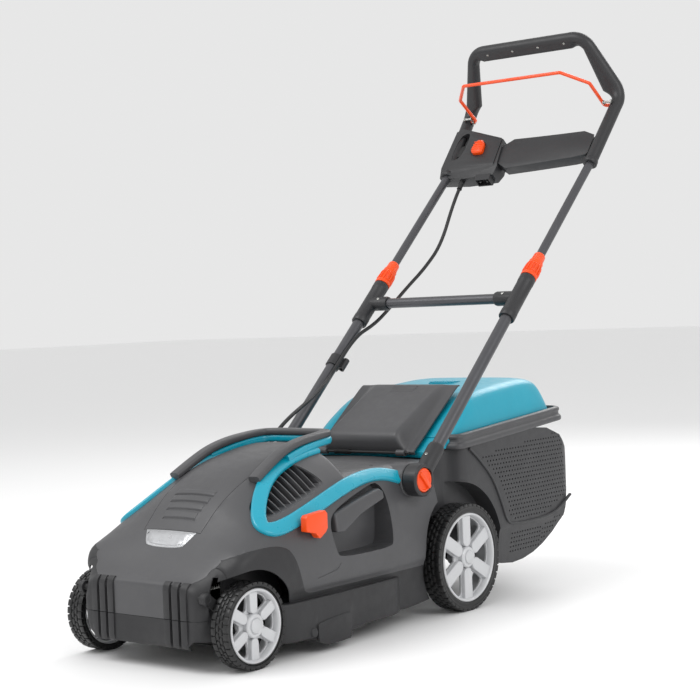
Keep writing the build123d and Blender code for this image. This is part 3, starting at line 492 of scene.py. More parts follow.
def dress(piece, finish_name, body, *stands_for, edge=0.0, smooth=35.0, segments=2):
    """Rounds a piece's edges, shades it, gives it its finish and mounts it on its body."""
    if edge:
        softened(piece, edge / 1000, segments, 38)
    mesh = piece.data
    mesh.polygons.foreach_set("use_smooth", [True] * len(mesh.polygons))
    mesh.set_sharp_from_angle(angle=radians(smooth))
    mesh.materials.clear()
    mesh.materials.append(FINISHES[finish_name])
    if body:
        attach(piece, body)
    if stands_for:
        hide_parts(*stands_for)
    return piece


def repaint(finish_name, *nodes):
    """Gives frame nodes whose shape is right their finish."""
    for node in nodes:
        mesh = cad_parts[node].data
        mesh.materials.clear()
        mesh.materials.append(FINISHES[finish_name])


# ---------------------------------------------------------------- node trees for repeats
def repeat_tree(name):
    """A tree that puts copies of its input mesh round an axis, each turned with its place.

    Inputs: how many, the turn between them, and the axis and centre.
    """
    tree = bpy.data.node_groups.new(name, "GeometryNodeTree")
    face = tree.interface
    face.new_socket("Geometry", in_out="INPUT", socket_type="NodeSocketGeometry")
    for label, kind in (("Count", "NodeSocketInt"), ("Step", "NodeSocketFloat"),
                        ("Axis", "NodeSocketVector"), ("Centre", "NodeSocketVector"),
                        ("Shift", "NodeSocketVector"), ("Material", "NodeSocketMaterial")):
        face.new_socket(label, in_out="INPUT", socket_type=kind)
    face.new_socket("Geometry", in_out="OUTPUT", socket_type="NodeSocketGeometry")
    add, link = tree.nodes.new, tree.links.new
    start, end = add("NodeGroupInput"), add("NodeGroupOutput")
    line = add("GeometryNodeMeshLine")
    line.mode = "OFFSET"
    link(start.outputs["Count"], line.inputs["Count"])
    line.inputs["Offset"].default_value = (0, 0, 0)
    index, angle, reach = add("GeometryNodeInputIndex"), add("ShaderNodeMath"), add("ShaderNodeVectorMath")
    angle.operation = "MULTIPLY"
    link(index.outputs[0], angle.inputs[0])
    link(start.outputs["Step"], angle.inputs[1])
    reach.operation = "SCALE"
    link(start.outputs["Shift"], reach.inputs[0])
    link(index.outputs[0], reach.inputs["Scale"])
    spin = add("FunctionNodeAxisAngleToRotation")
    link(start.outputs["Axis"], spin.inputs["Axis"])
    link(angle.outputs[0], spin.inputs["Angle"])
    # A copy turns about the axis through the centre, so it is put at centre - turned(centre).
    back, turned_back, put, moved = (add("ShaderNodeVectorMath"), add("FunctionNodeRotateVector"),
                                     add("ShaderNodeVectorMath"), add("ShaderNodeVectorMath"))
    back.operation, put.operation, moved.operation = "SCALE", "ADD", "ADD"
    back.inputs["Scale"].default_value = -1
    link(start.outputs["Centre"], back.inputs[0])
    link(back.outputs[0], turned_back.inputs["Vector"])
    link(spin.outputs[0], turned_back.inputs["Rotation"])
    link(start.outputs["Centre"], put.inputs[0])
    link(turned_back.outputs[0], put.inputs[1])
    link(put.outputs[0], moved.inputs[0])
    link(reach.outputs[0], moved.inputs[1])
    set_place = add("GeometryNodeSetPosition")
    link(line.outputs[0], set_place.inputs["Geometry"])
    link(moved.outputs[0], set_place.inputs["Position"])
    copies = add("GeometryNodeInstanceOnPoints")
    link(set_place.outputs[0], copies.inputs["Points"])
    link(start.outputs["Geometry"], copies.inputs["Instance"])
    link(spin.outputs[0], copies.inputs["Rotation"])
    real, paint = add("GeometryNodeRealizeInstances"), add("GeometryNodeSetMaterial")
    link(copies.outputs[0], real.inputs[0])
    link(real.outputs[0], paint.inputs["Geometry"])
    link(start.outputs["Material"], paint.inputs["Material"])
    link(paint.outputs[0], end.inputs[0])
    return tree


def repeated(piece, count, finish_name, step=0.0, axis=(1, 0, 0), centre=(0, 0, 0), shift=(0, 0, 0)):
    """Copies of a piece round an axis or along a line, as one plain mesh."""
    tree = bpy.data.node_groups.get("copies in a row") or repeat_tree("copies in a row")
    return made_by(tree, piece, Count=count, Step=step, Axis=tuple(axis), Centre=tuple(centre),
                   Shift=tuple(shift), Material=FINISHES[finish_name])


# ---------------------------------------------------------------- shape of the covers
# Each row: distance behind the front axle, the half outline from the hem up, and the middle's height.
COVER = [
    (-84, (100, 52), (116, 66), (122, 92), (122, 106), (114, 128), (80, 137), 139),
    (-84, (112, 40), (133, 56), (138, 92), (138, 114), (129, 142), (92, 149), 151),
    (-60, (132, 37), (147, 56), (150, 98), (150, 122), (146, 153), (95, 161), 160),
    (-30, (150, 35), (176, 66), (187, 116), (191, 150), (188, 196), (100, 192), 185),
    (5, (170, 33), (188, 88), (197, 130), (199, 165), (189, 208), (78, 227), 231),
    (60, (185, 33), (190, 100), (203, 130), (199, 182), (178, 236), (88, 280), 288),
    (150, (190, 33), (190, 105), (205, 126), (199, 217), (169, 262), (92, 328), 337),
    (240, (190, 33), (190, 105), (205, 126), (199, 222), (163, 284), (93, 347), 355),
    (285, (190, 33), (190, 105), (205, 126), (197, 226), (160, 298), (92, 352), 360),
    (298, (190, 33), (190, 105), (205, 126), (196, 227), (160, 300), (92, 352), 361),
    (304, (190, 33), (190, 105), (205, 126), (196, 228), (160, 300), (92, 303), 308),
    (320, (190, 33), (190, 105), (205, 126), (195, 229), (160, 302), (92, 303), 308),
    (400, (190, 33), (190, 105), (205, 126), (190, 234), (160, 303), (95, 304), 308),
    (455, (190, 33), (190, 105), (203, 129), (178, 238), (156, 303), (100, 304), 308),
    (560, (190, 45), (190, 105), (198, 131), (176, 238), (156, 303), (110, 304), 308),
]
WALL = 3.0
BEYOND = 260  # further across than any cover
NOSE_END = -43  # where the bumper meets the deck, behind the front axle
SEAM = [(-130, 140), (-86, 146), (-60, 156), (-44, 176), (-26, 196), (30, 204), (84, 200),
        (104, 176), (118, 128), (134, 108), (180, 108), (700, 108)]
VENT = [(60, 258), (68, 243), (150, 263), (238, 287), (243, 296), (220, 325), (205, 327), (104, 288)]
PLATE = [(61, 2), (50, -14), (40, -20), (-40, -20), (-50, -14), (-61, 2)]


def covers(**sizes):
    return lofted("form", COVER, **sizes)


def cover_surface():
    """What finds points of the covers' outer surface."""
    form = covers()
    work = bmesh.new()
    work.from_mesh(form.data)
    tree = BVHTree.FromBMesh(work)
    work.free()
    bpy.data.objects.remove(form)
    return tree


def hood_block(grow):
    outline = [(69 + grow, 4 - grow), (78 + grow, 120), (88 + grow, 296 + grow),
               (-88 - grow, 296 + grow), (-78 - grow, 120), (-69 - grow, 4 - grow)]
    return plan_block("hood block", outline, 150, 420)


def wheel_spaces():
    """The room that the wheels and their arms need."""
    spaces = []
    for facing in (1, -1):
        for low, back, height, reach, radius in ((156, 0, 75, 80, 95), (158, WHEELBASE, 106, 80, 126)):
            ring = ring_of(radius, 96, (back, height))
            ends = on_side(facing, low, low + reach)
            spaces.append(side_block("wheel space", ring, *ends))
        ends = on_side(facing, 148, 158)
        spaces.append(side_block("arm space", [(-110, -12), (30, -12), (30, 162), (-110, 162)], *ends))
    return spaces


class MOWER_OT_covers(bpy.types.Operator):
    """Builds the deck, bumper, body cover, motor hood and nose plate from one smooth form"""
    bl_idname = "mower.covers"
    bl_label = "Covers"
    bl_options = {"REGISTER", "UNDO"}

    def execute(self, context):
        outer = covers()
        hollow = covers(inset=WALL, drop=40, end_inset=WALL)
        # The pocket under the grip bar keeps a wall round it, so the hollow gives way to it.
        pocket = rounded([(204, 222), (214, 172), (228, 159), (376, 158), (389, 168), (392, 250),
                          (384, 272), (366, 281), (236, 247)], 2, closed=True)
        wide = rounded([(199, 222), (208, 168), (226, 153), (378, 152), (395, 165), (398, 252),
                        (388, 278), (366, 287), (234, 252)], 2, closed=True)
        for facing in (1, -1):
            ends = on_side(facing, 149, 240)
            carve(hollow, side_block("pocket wall", wide, *ends))
        shell = carve(outer, hollow)
        for facing in (1, -1):
            ends = on_side(facing, 152, 240)
            carve(shell, side_block("pocket", pocket, *ends))
        for space in wheel_spaces():
            carve(shell, space)
        seam = [tuple(p) for p in rounded(SEAM, 2)]
        below = side_block("below", seam + [(700, -80), (-130, -80)], -BEYOND, BEYOND)
        above = side_block("above", seam + [(700, 500), (-130, 500)], -BEYOND, BEYOND)
        # The middle of the nose belongs to the cover down to the bumper's parting line.
        for low, high, x_half, y_from in ((90, 190, 60, -130), (134, 240, 112, -72)):
            apron = plan_block("apron", [(-x_half, y_from), (x_half, y_from), (x_half, 70), (-x_half,
                        70)], low, high)
            carve(above, twin(apron, "apron"), "UNION")
            carve(below, apron)
        lower = carve(twin(shell, "deck_shell"), below, "INTERSECT")
        upper = carve(shell, above, "INTERSECT")

        bumper = carve(twin(lower, "bumper_shell"), plan_block("front", [(-BEYOND, -140), (BEYOND, -140),
                    (BEYOND, NOSE_END - 0.3),
                                                               (-BEYOND, NOSE_END - 0.3)], -20, 300),
                                                               "INTERSECT")
        carve(lower, plan_block("front", [(-BEYOND, -140), (BEYOND, -140), (BEYOND, NOSE_END + 0.3),
                                          (-BEYOND, NOSE_END + 0.3)], -20, 300))
        self.deck(lower)
        self.bumper(bumper)
        hood = carve(twin(upper, "hood_shell"), hood_block(0), "INTERSECT")
        carve(upper, hood_block(0.9))
        self.cover(upper)
        self.hood(hood)
        plate = carve(covers(inset=-1.4), covers())
        carve(plate, plan_block("plate", rounded(PLATE, 2), 100, 300), "INTERSECT")
        inner = carve(covers(inset=-2.6), covers(inset=-0.4))
        carve(inner, plan_block("plate", rounded([(u * 0.86, v * 0.78 - 2.2) for u, v in PLATE], 2), 100,
                                300),
              "INTERSECT")
        dress(carve(plate, inner, "UNION"), "plate", "chassis", "nose_plate",
              edge=0.5).name = "nose_badge"
        return {"FINISHED"}

    def deck(self, lower):
        """The skirt with the blade housing's bulge and its top plate."""
        ring = turned("housing", [(204, 24), (206.5, 27), (206.5, 84), (204, 93), (197, 100), (186, 104),
                                  (120, 106), (60, 106), (30, 106), (30, 103), (150, 102.5), (188, 100),
                                  (199, 90), (202, 80), (202, 24)], place(*HOUSING, 0), UP, 128)
        carve(lower, ring, "UNION")
        for facing in (1, -1):
            outline = rounded([(facing * x, y) for x, y in
                               ((180, 60), (198, 72), (207, 110), (207, 340), (203, 384), (192, 410),
                                (180, 416))], 2)
            bulge = plan_block("bulge", outline, 30, 99)
            carve(lower, softened(bulge, 0.008, 4, 60), "UNION")
            liner = side_block("arch liner", ring_of(128, 64, (0, 75)), *on_side(facing, 143, 146))
            carve(liner, side_block("liner room", [(-30, 40), (150, 40), (150, 240), (-30, 240)],
                                    *on_side(facing, 130, 160)), "INTERSECT")
            carve(liner, covers(inset=1.0), "INTERSECT")
            carve(lower, liner, "UNION")
            plate_outline = rounded([(150, 13), (146, 50), (152, 56), (236, 62), (240, 58), (240, 18),
                                     (234, 13)], 1, closed=True)
            ends = on_side(facing, 203, 209)
            plate = side_block("skirt plate", plate_outline, *ends)
            carve(lower, plate, "UNION")
            boss = turned("boss", [(0, 0), (9, 0), (9, 7), (7, 9), (0, 9)], place(facing * 200, 138, 40),
                          ACROSS * facing, 32)
            carve(lower, boss, "UNION")
        dress(lower, "skirt", "chassis", "deck", edge=0.7).name = "deck_moulding"

    def bumper(self, bumper):
        """The bumper, with upright ribs at its corners and a parting line."""
        for facing in (1, -1):
            for x_low, x_high in ((62, 76), (82, 96), (102, 116)):
                ends = on_side(facing, x_low, x_high)
                outline = rounded([(-140, 38), (-140, 150), (-50, 160), (-50, 34)], 2, closed=True)
                bar = side_block("bar", outline, *ends)
                carve(bar, covers(inset=-2.6, end_inset=-2.6), "INTERSECT")
                carve(bar, covers(inset=2.0, end_inset=2.0))
                carve(bumper, softened(bar, 0.0016), "UNION")
            for x_low, x_high in ((76.6, 81.4), (96.6, 101.4)):
                ends = on_side(facing, x_low, x_high)
                groove = side_block("groove", [(-140, 34), (-140, 160), (-52, 160), (-52, 34)], *ends)
                carve(groove, covers(inset=2.2, end_inset=2.2))
                carve(bumper, groove)
        for facing in (1, -1):
            carve(bumper, plan_block("hem corner", [(facing * 120, -120), (facing * 165, -120),
                                                    (facing * 165, -40),
                                                    (facing * 120, -40)], 0, 47))
        line = plan_block("line", [(-240, -200), (240, -200), (240, 0), (-240, 0)], 89.2, 90.6)
        carve(line, covers(inset=1.4, end_inset=1.4))
        carve(bumper, line)
        for facing in (1, -1):
            boss = turned("boss", [(0, 0), (11, 0), (11, 10), (9, 12), (5, 12), (5, 9), (0, 9)],
                          place(facing * 144, -73, 128), ACROSS * facing, 40)
            carve(bumper, boss, "UNION")
        dress(bumper, "skirt", "chassis", "front_bumper", edge=0.6).name = "bumper_moulding"

    def cover(self, upper):
        """The grey cover with its vent openings and pivot housings."""
        for facing in (1, -1):
            ends = on_side(facing, 60, 260)
            carve(upper, side_block("vent", rounded(VENT, 2, closed=True), *ends))
            housing = turned("housing", [(24, 0), (33, 0), (33, 35), (31.5, 37), (24, 37.5)],
                             place(facing * 140, *PIVOT), ACROSS * facing, 64)
            carve(upper, housing, "UNION")
            boss = turned("boss", [(6.1, 0), (12, 0), (12, 13), (6.1, 13)],
                          place(facing * 146, WHEELBASE - 73, 159), ACROSS * facing, 40)
            carve(upper, boss, "UNION")
            groove = side_block("groove", [(158, 133), (159, 132), (214, 140), (224, 150), (223.3, 150.7),
                                           (213.4, 141)], *ends)
            carve(groove, covers(inset=1.0))
            carve(upper, groove)
            hole = turned("hole", [(0, 0), (6.4, 0), (6.4, 60), (0, 60)], place(facing * 150, 150, 226),
                          ACROSS * facing, 32)
            carve(upper, hole)
        for back in (330, 430):
            for x in (-118, 118):
                recess = turned("recess", [(0, 0), (4.5, 0), (4.5, 20), (0, 20)], place(x, back, 301),
                                UP, 24)
                carve(upper, recess)
        entry = turned("entry", [(0, -20), (6.5, -20), (6.5, 20), (0, 20)], place(-108, 385, 300), UP, 32)
        lip = turned("lip", [(6.5, 0), (10, 0), (10, 9), (9, 11), (7.5, 11), (6.5, 10)],
                     place(-108, 385, 300), UP, 32)
        carve(upper, entry)
        carve(upper, lip, "UNION")
        carve(upper, plan_block("mouth", [(-92.5, 552), (92.5, 552), (92.5, 566), (-92.5, 566)], 165,
                                293))
        dress(upper, "cover", "chassis", "body_cover", edge=0.8).name = "cover_moulding"

    def hood(self, hood):
        """The motor hood with three louvres that look down."""
        outer = cover_surface()
        for back, half in ((62, 48), (48, 46), (34, 43), (20, 40)):
            top = outer.ray_cast(place(0, back, 500), -UP)[0]
            height = (top.z - place(0, 0, 0).z) * 1000
            slot = side_block("louvre", [(back - 9, height - 14), (back - 12, height + 10), (back + 2.4,
                        height + 10),
                                         (back + 2.4, height - 10), (back, height - 10), (back,
                                                     height - 14)],
                              -half, half)
            slot = carve(slot, side_block("above louvre", [(back - 30, height - 60), (back - 30,
                        height + 60),
                                                           (back - 0.4, height + 60), (back - 0.4,
                                                                       height - 60)],
                                          -80, 80))
            carve(slot, covers(inset=2.3))
            carve(hood, slot)
            lip = side_block("lip", [(back + 2.4, height - 8), (back + 2.4, height + 12), (back + 10.5,
                        height + 14),
                                     (back + 10.5, height - 4)], -half + 1, half - 1)
            carve(lip, covers(inset=-1.5), "INTERSECT")
            carve(lip, covers(inset=1.5))
            carve(hood, softened(lip, 0.0012), "UNION")
        dress(hood, "cover", "chassis", "motor_hood", edge=0.7).name = "hood_moulding"


class MOWER_OT_vents(bpy.types.Operator):
    """Builds the slatted grilles behind the side openings"""
    bl_idname = "mower.vents"
    bl_label = "Side vents"
    bl_options = {"REGISTER", "UNDO"}

    def execute(self, context):
        count = context.scene.mower_sizes.slats
        opening = rounded(VENT, 2, closed=True)
        centre = opening.mean(axis=0)
        wide = [tuple(centre + (p - centre) * 1.06) for p in opening]
        pitch = (236 - 62) / count
        slats = side_block("slats", [(70, 238), (72.6, 238), (60.6, 330), (58, 330)], 40, 240)
        repeated(slats, count + 3, "cover", shift=(0, pitch / 1000, 0))
        band = carve(covers(inset=3.0), covers(inset=12))
        carve(slats, band, "INTERSECT")
        carve(slats, side_block("opening", wide, 40, 240), "INTERSECT")
        rim = carve(covers(inset=1.0), covers(inset=13))
        carve(rim, side_block("opening", wide, 40, 240), "INTERSECT")
        carve(rim, side_block("opening", [tuple(centre + (p - centre) * 0.97) for p in opening], 40, 240))
        back = carve(covers(inset=13), covers(inset=14.5))
        carve(back, side_block("opening", wide, 40, 240), "INTERSECT")
        dress(both_sides(joined("slatted", slats, rim), "vent_slats"), "cover", "chassis",
              "vent_grilles", edge=0.3)
        dress(both_sides(back, "vent_mesh"), "inner", "chassis")
        return {"FINISHED"}


class MOWER_OT_trims(bpy.types.Operator):
    """Builds the trim band that loops round each side vent"""
    bl_idname = "mower.trims"
    bl_label = "Side trims"
    bl_options = {"REGISTER", "UNDO"}

    def execute(self, context):
        find = cover_surface()
        route = [(95, 300, 353), (95, 250, 349), (98, 200, 338), (106, 150, 322), (124, 106, 300),
                 (148, 70, 274), (166, 50, 254), (180, 52, 232), (188, 84, 230), (187, 150, 249),
                 (179, 230, 271), (173, 300, 290), (170, 350, 302), (170, 400, 303), (171, 430, 292),
                 (172, 456, 282)]
        path, normals = [], []
        for point in rounded(route, 3):
            spot, normal, _, _ = find.find_nearest(place(*point))
            path.append(spot)
            normals.append(normal)
        for _ in range(24):
            last = len(path) - 1
            path = [(path[max(i - 1, 0)] + path[i] * 2 + path[min(i + 1,
                                                                  last)]) / 4 if 0 < i < last else p
                    for i, p in enumerate(path)]
            normals = [(normals[max(i - 1, 0)] + normals[i] * 2 + normals[min(i + 1, last)]).normalized()
                       for i in range(len(normals))]
        band = swept("trim", path, soft_rectangle(27, 13, 4.5, lift=1.0), normals)
        dress(both_sides(band, "trim_bands"), "trim", "chassis", "side_trims", smooth=60)
        return {"FINISHED"}


# ---------------------------------------------------------------- carrying handle and flap
CARRY_TILT = radians(4)


def on_carry(x, back, out):
    """A point on the carrying handle's plane: across, back along it, and out of it."""
    return place(x, 262 + back * cos(CARRY_TILT) - out * sin(CARRY_TILT),
                 352.5 + back * sin(CARRY_TILT) + out * cos(CARRY_TILT))


def smoothstep(value):
    value = min(1.0, max(0.0, value))
    return value * value * (3 - 2 * value)


class MOWER_OT_carry(bpy.types.Operator):
    """Builds the carrying handle behind the hood and its coloured underside"""
    bl_idname = "mower.carry"
    bl_label = "Carrying handle"
    bl_options = {"REGISTER", "UNDO"}

    def execute(self, context):
        half = [(99, -150, -34), (95, -105, -14), (91, -60, 3), (87, -10, 12), (86, 50, 14), (80, 84,
                    14), (60, 93, 14),
                (20, 95, 14)]
        full = [(x, v, w) for x, v, w in half] + [(-x, v, w) for x, v, w in reversed(half)]
        path = [on_carry(*p) for p in rounded(full, 3)]
        grey = swept("carrying_bow", path, soft_rectangle(24, 13, 5), UP)
        lower = [(95, -60, -12), (90, -10, -3), (87, 40, 1), (81, 85, 1), (60, 94, 1), (20, 96, 1)]
        full = lower + [(-x, v, w) for x, v, w in reversed(lower)]
        path = [on_carry(*p) for p in rounded(full, 3)]
        teal = swept("carrying_underside", path, soft_rectangle(23, 14, 4.5), UP)
        dress(grey, "cover", "chassis", "carrying_handle")
        dress(teal, "trim", "chassis", "carrying_handle_trim")
        return {"FINISHED"}


class MOWER_OT_flap(bpy.types.Operator):
    """Builds the rear flap that rests on the grass box"""
    bl_idname = "mower.flap"
    bl_label = "Rear flap"
    bl_options = {"REGISTER", "UNDO"}

    def execute(self, context):
        raised = rounded([(563, 312), (556, 326), (551, 344), (557, 358), (585, 374), (640, 404), (690,
                    430),
                          (722, 444), (728, 441)], 3)
        flat = rounded([(563, 312), (561, 314), (560, 317), (562, 321), (585, 337), (640, 380), (690,
                    418),
                        (722, 442), (728, 441)], 3)
        sheet = []
        columns = [-125 + 250 * i / 100 for i in range(101)]
        for up_here, low_here in zip(raised, flat):
            row = []
            for x in columns:
                share = smoothstep((108 - abs(x)) / 26)
                y, z = low_here + (up_here - low_here) * share
                row.append(place(x, y, z))
            sheet.append(row)
        width = len(columns)
        points = [p for row in sheet for p in row]
        faces = [(i * width + k, i * width + k + 1, (i + 1) * width + k + 1, (i + 1) * width + k)
                 for i in range(len(sheet) - 1) for k in range(width - 1)]
        skin = new_piece("flap_skin", points, faces)
        wall = skin.modifiers.new("wall", "SOLIDIFY")
        wall.thickness, wall.offset, wall.use_even_offset = 0.003, -1.0, True
        settle(skin)
        barrels = [turned("barrel", [(2.6, 0), (6.5, 0), (6.5, 20), (2.6, 20)], place(x, 552, 316),
                          ACROSS, 32)
                   for x in (-110, 90)]
        dress(joined("flap_moulding", skin, *barrels), "cover", "flap", "rear_flap")
        ribs = side_block("grip_ribs", [(706, 437), (710, 441), (712, 438), (708, 434)], -30, 30)
        repeated(ribs, 4, "cover", shift=(0, -0.006, -0.0031))
        dress(ribs, "cover", "flap", edge=0.6)
        return {"FINISHED"}


# ---------------------------------------------------------------- grass box
LID = [
    (574, (140, 305), (148, 310), (148, 315), (146, 316), (110, 317), (60, 317), 317),
    (606, (158, 319), (162, 326), (162, 334), (154, 340), (110, 342), (60, 342), 342),
    (640, (174, 324), (177, 344), (172, 360), (156, 367), (110, 368), (60, 368), 368),
    (700, (178, 329), (179, 352), (168, 394), (152, 411), (110, 413), (60, 414), 414),
    (740, (178, 332), (179, 356), (162, 412), (148, 424), (110, 427), (60, 428), 428),
    (860, (178, 342), (179, 366), (160, 424), (145, 436), (110, 440), (60, 441), 441),
    (950, (178, 349), (179, 373), (158, 431), (143, 442), (110, 446), (60, 447), 447),
    (982, (178, 352), (178, 374), (156, 424), (138, 434), (108, 438), (60, 438), 438),
    (1000, (172, 353), (171, 366), (152, 392), (134, 402), (106, 404), (60, 404), 404),
    (1008, (160, 354), (158, 360), (146, 366), (130, 370), (104, 372), (60, 372), 372),
]
BOX_SIDE = [(566, 168), (765, 58), (925, 70), (1048, 173), (1020, 354), (622, 322), (602, 304), (566,
            304)]
BOX_PLAN = [(150, 560), (150, 608), (160, 624), (188, 634), (195, 650), (195, 1000), (190, 1030), (170,
            1058)]
RIM_SLOPE = 0.0804


def rim_height(back):
    return 322 + (back - 625) * RIM_SLOPE


def inside(point, outline):
    """Whether a flat point is inside an outline."""
    u, v = point
    found = False
    for (u1, v1), (u2, v2) in zip(outline, outline[1:] + outline[:1]):
        if (v1 > v) != (v2 > v) and u < (u2 - u1) * (v - v1) / (v2 - v1) + u1:
            found = not found
    return found


def shrunk(outline, amount):
    """A flat outline moved inwards all round."""
    points = [Vector(p) for p in outline]
    area = sum(a.x * b.y - b.x * a.y for a, b in zip(points, points[1:] + points[:1]))
    turn = 1 if area > 0 else -1
    result = []
    for before, here, after in zip(points[-1:] + points[:-1], points, points[1:] + points[:1]):
        first, second = (here - before).normalized(), (after - here).normalized()
        normals = [Vector((-d.y, d.x)) * turn for d in (first, second)]
        both = (normals[0] + normals[1]).normalized()
        result.append(tuple(here + both * (amount / max(both.dot(normals[0]), 0.4))))
    return result


def pin_tree():
    """A tree that puts one small many-sided pin along an axis at each point of its mesh."""
    tree = bpy.data.node_groups.new("pins at points", "GeometryNodeTree")
    face = tree.interface
    face.new_socket("Geometry", in_out="INPUT", socket_type="NodeSocketGeometry")
    for label, kind in (("Radius", "NodeSocketFloat"), ("Depth", "NodeSocketFloat"),
                        ("Turn", "NodeSocketRotation"), ("Material", "NodeSocketMaterial")):
        face.new_socket(label, in_out="INPUT", socket_type=kind)
    face.new_socket("Geometry", in_out="OUTPUT", socket_type="NodeSocketGeometry")
    add, link = tree.nodes.new, tree.links.new
    start, end = add("NodeGroupInput"), add("NodeGroupOutput")
    pin, copies = add("GeometryNodeMeshCylinder"), add("GeometryNodeInstanceOnPoints")
    pin.inputs["Vertices"].default_value = 8
    link(start.outputs["Radius"], pin.inputs["Radius"])
    link(start.outputs["Depth"], pin.inputs["Depth"])
    link(start.outputs["Geometry"], copies.inputs["Points"])
    link(pin.outputs["Mesh"], copies.inputs["Instance"])
    link(start.outputs["Turn"], copies.inputs["Rotation"])
    real, paint = add("GeometryNodeRealizeInstances"), add("GeometryNodeSetMaterial")
    link(copies.outputs[0], real.inputs[0])
    link(real.outputs[0], paint.inputs["Geometry"])
    link(start.outputs["Material"], paint.inputs["Material"])
    link(paint.outputs[0], end.inputs[0])
    return tree


def pins_at(places, radius, depth, turn):
    """Closed pins at places, used to pierce a wall."""
    tree = bpy.data.node_groups.get("pins at points") or pin_tree()
    spots = new_piece("pins", places, [])
    return made_by(tree, spots, Radius=radius, Depth=depth, Turn=turn, Material=FINISHES["basket"])


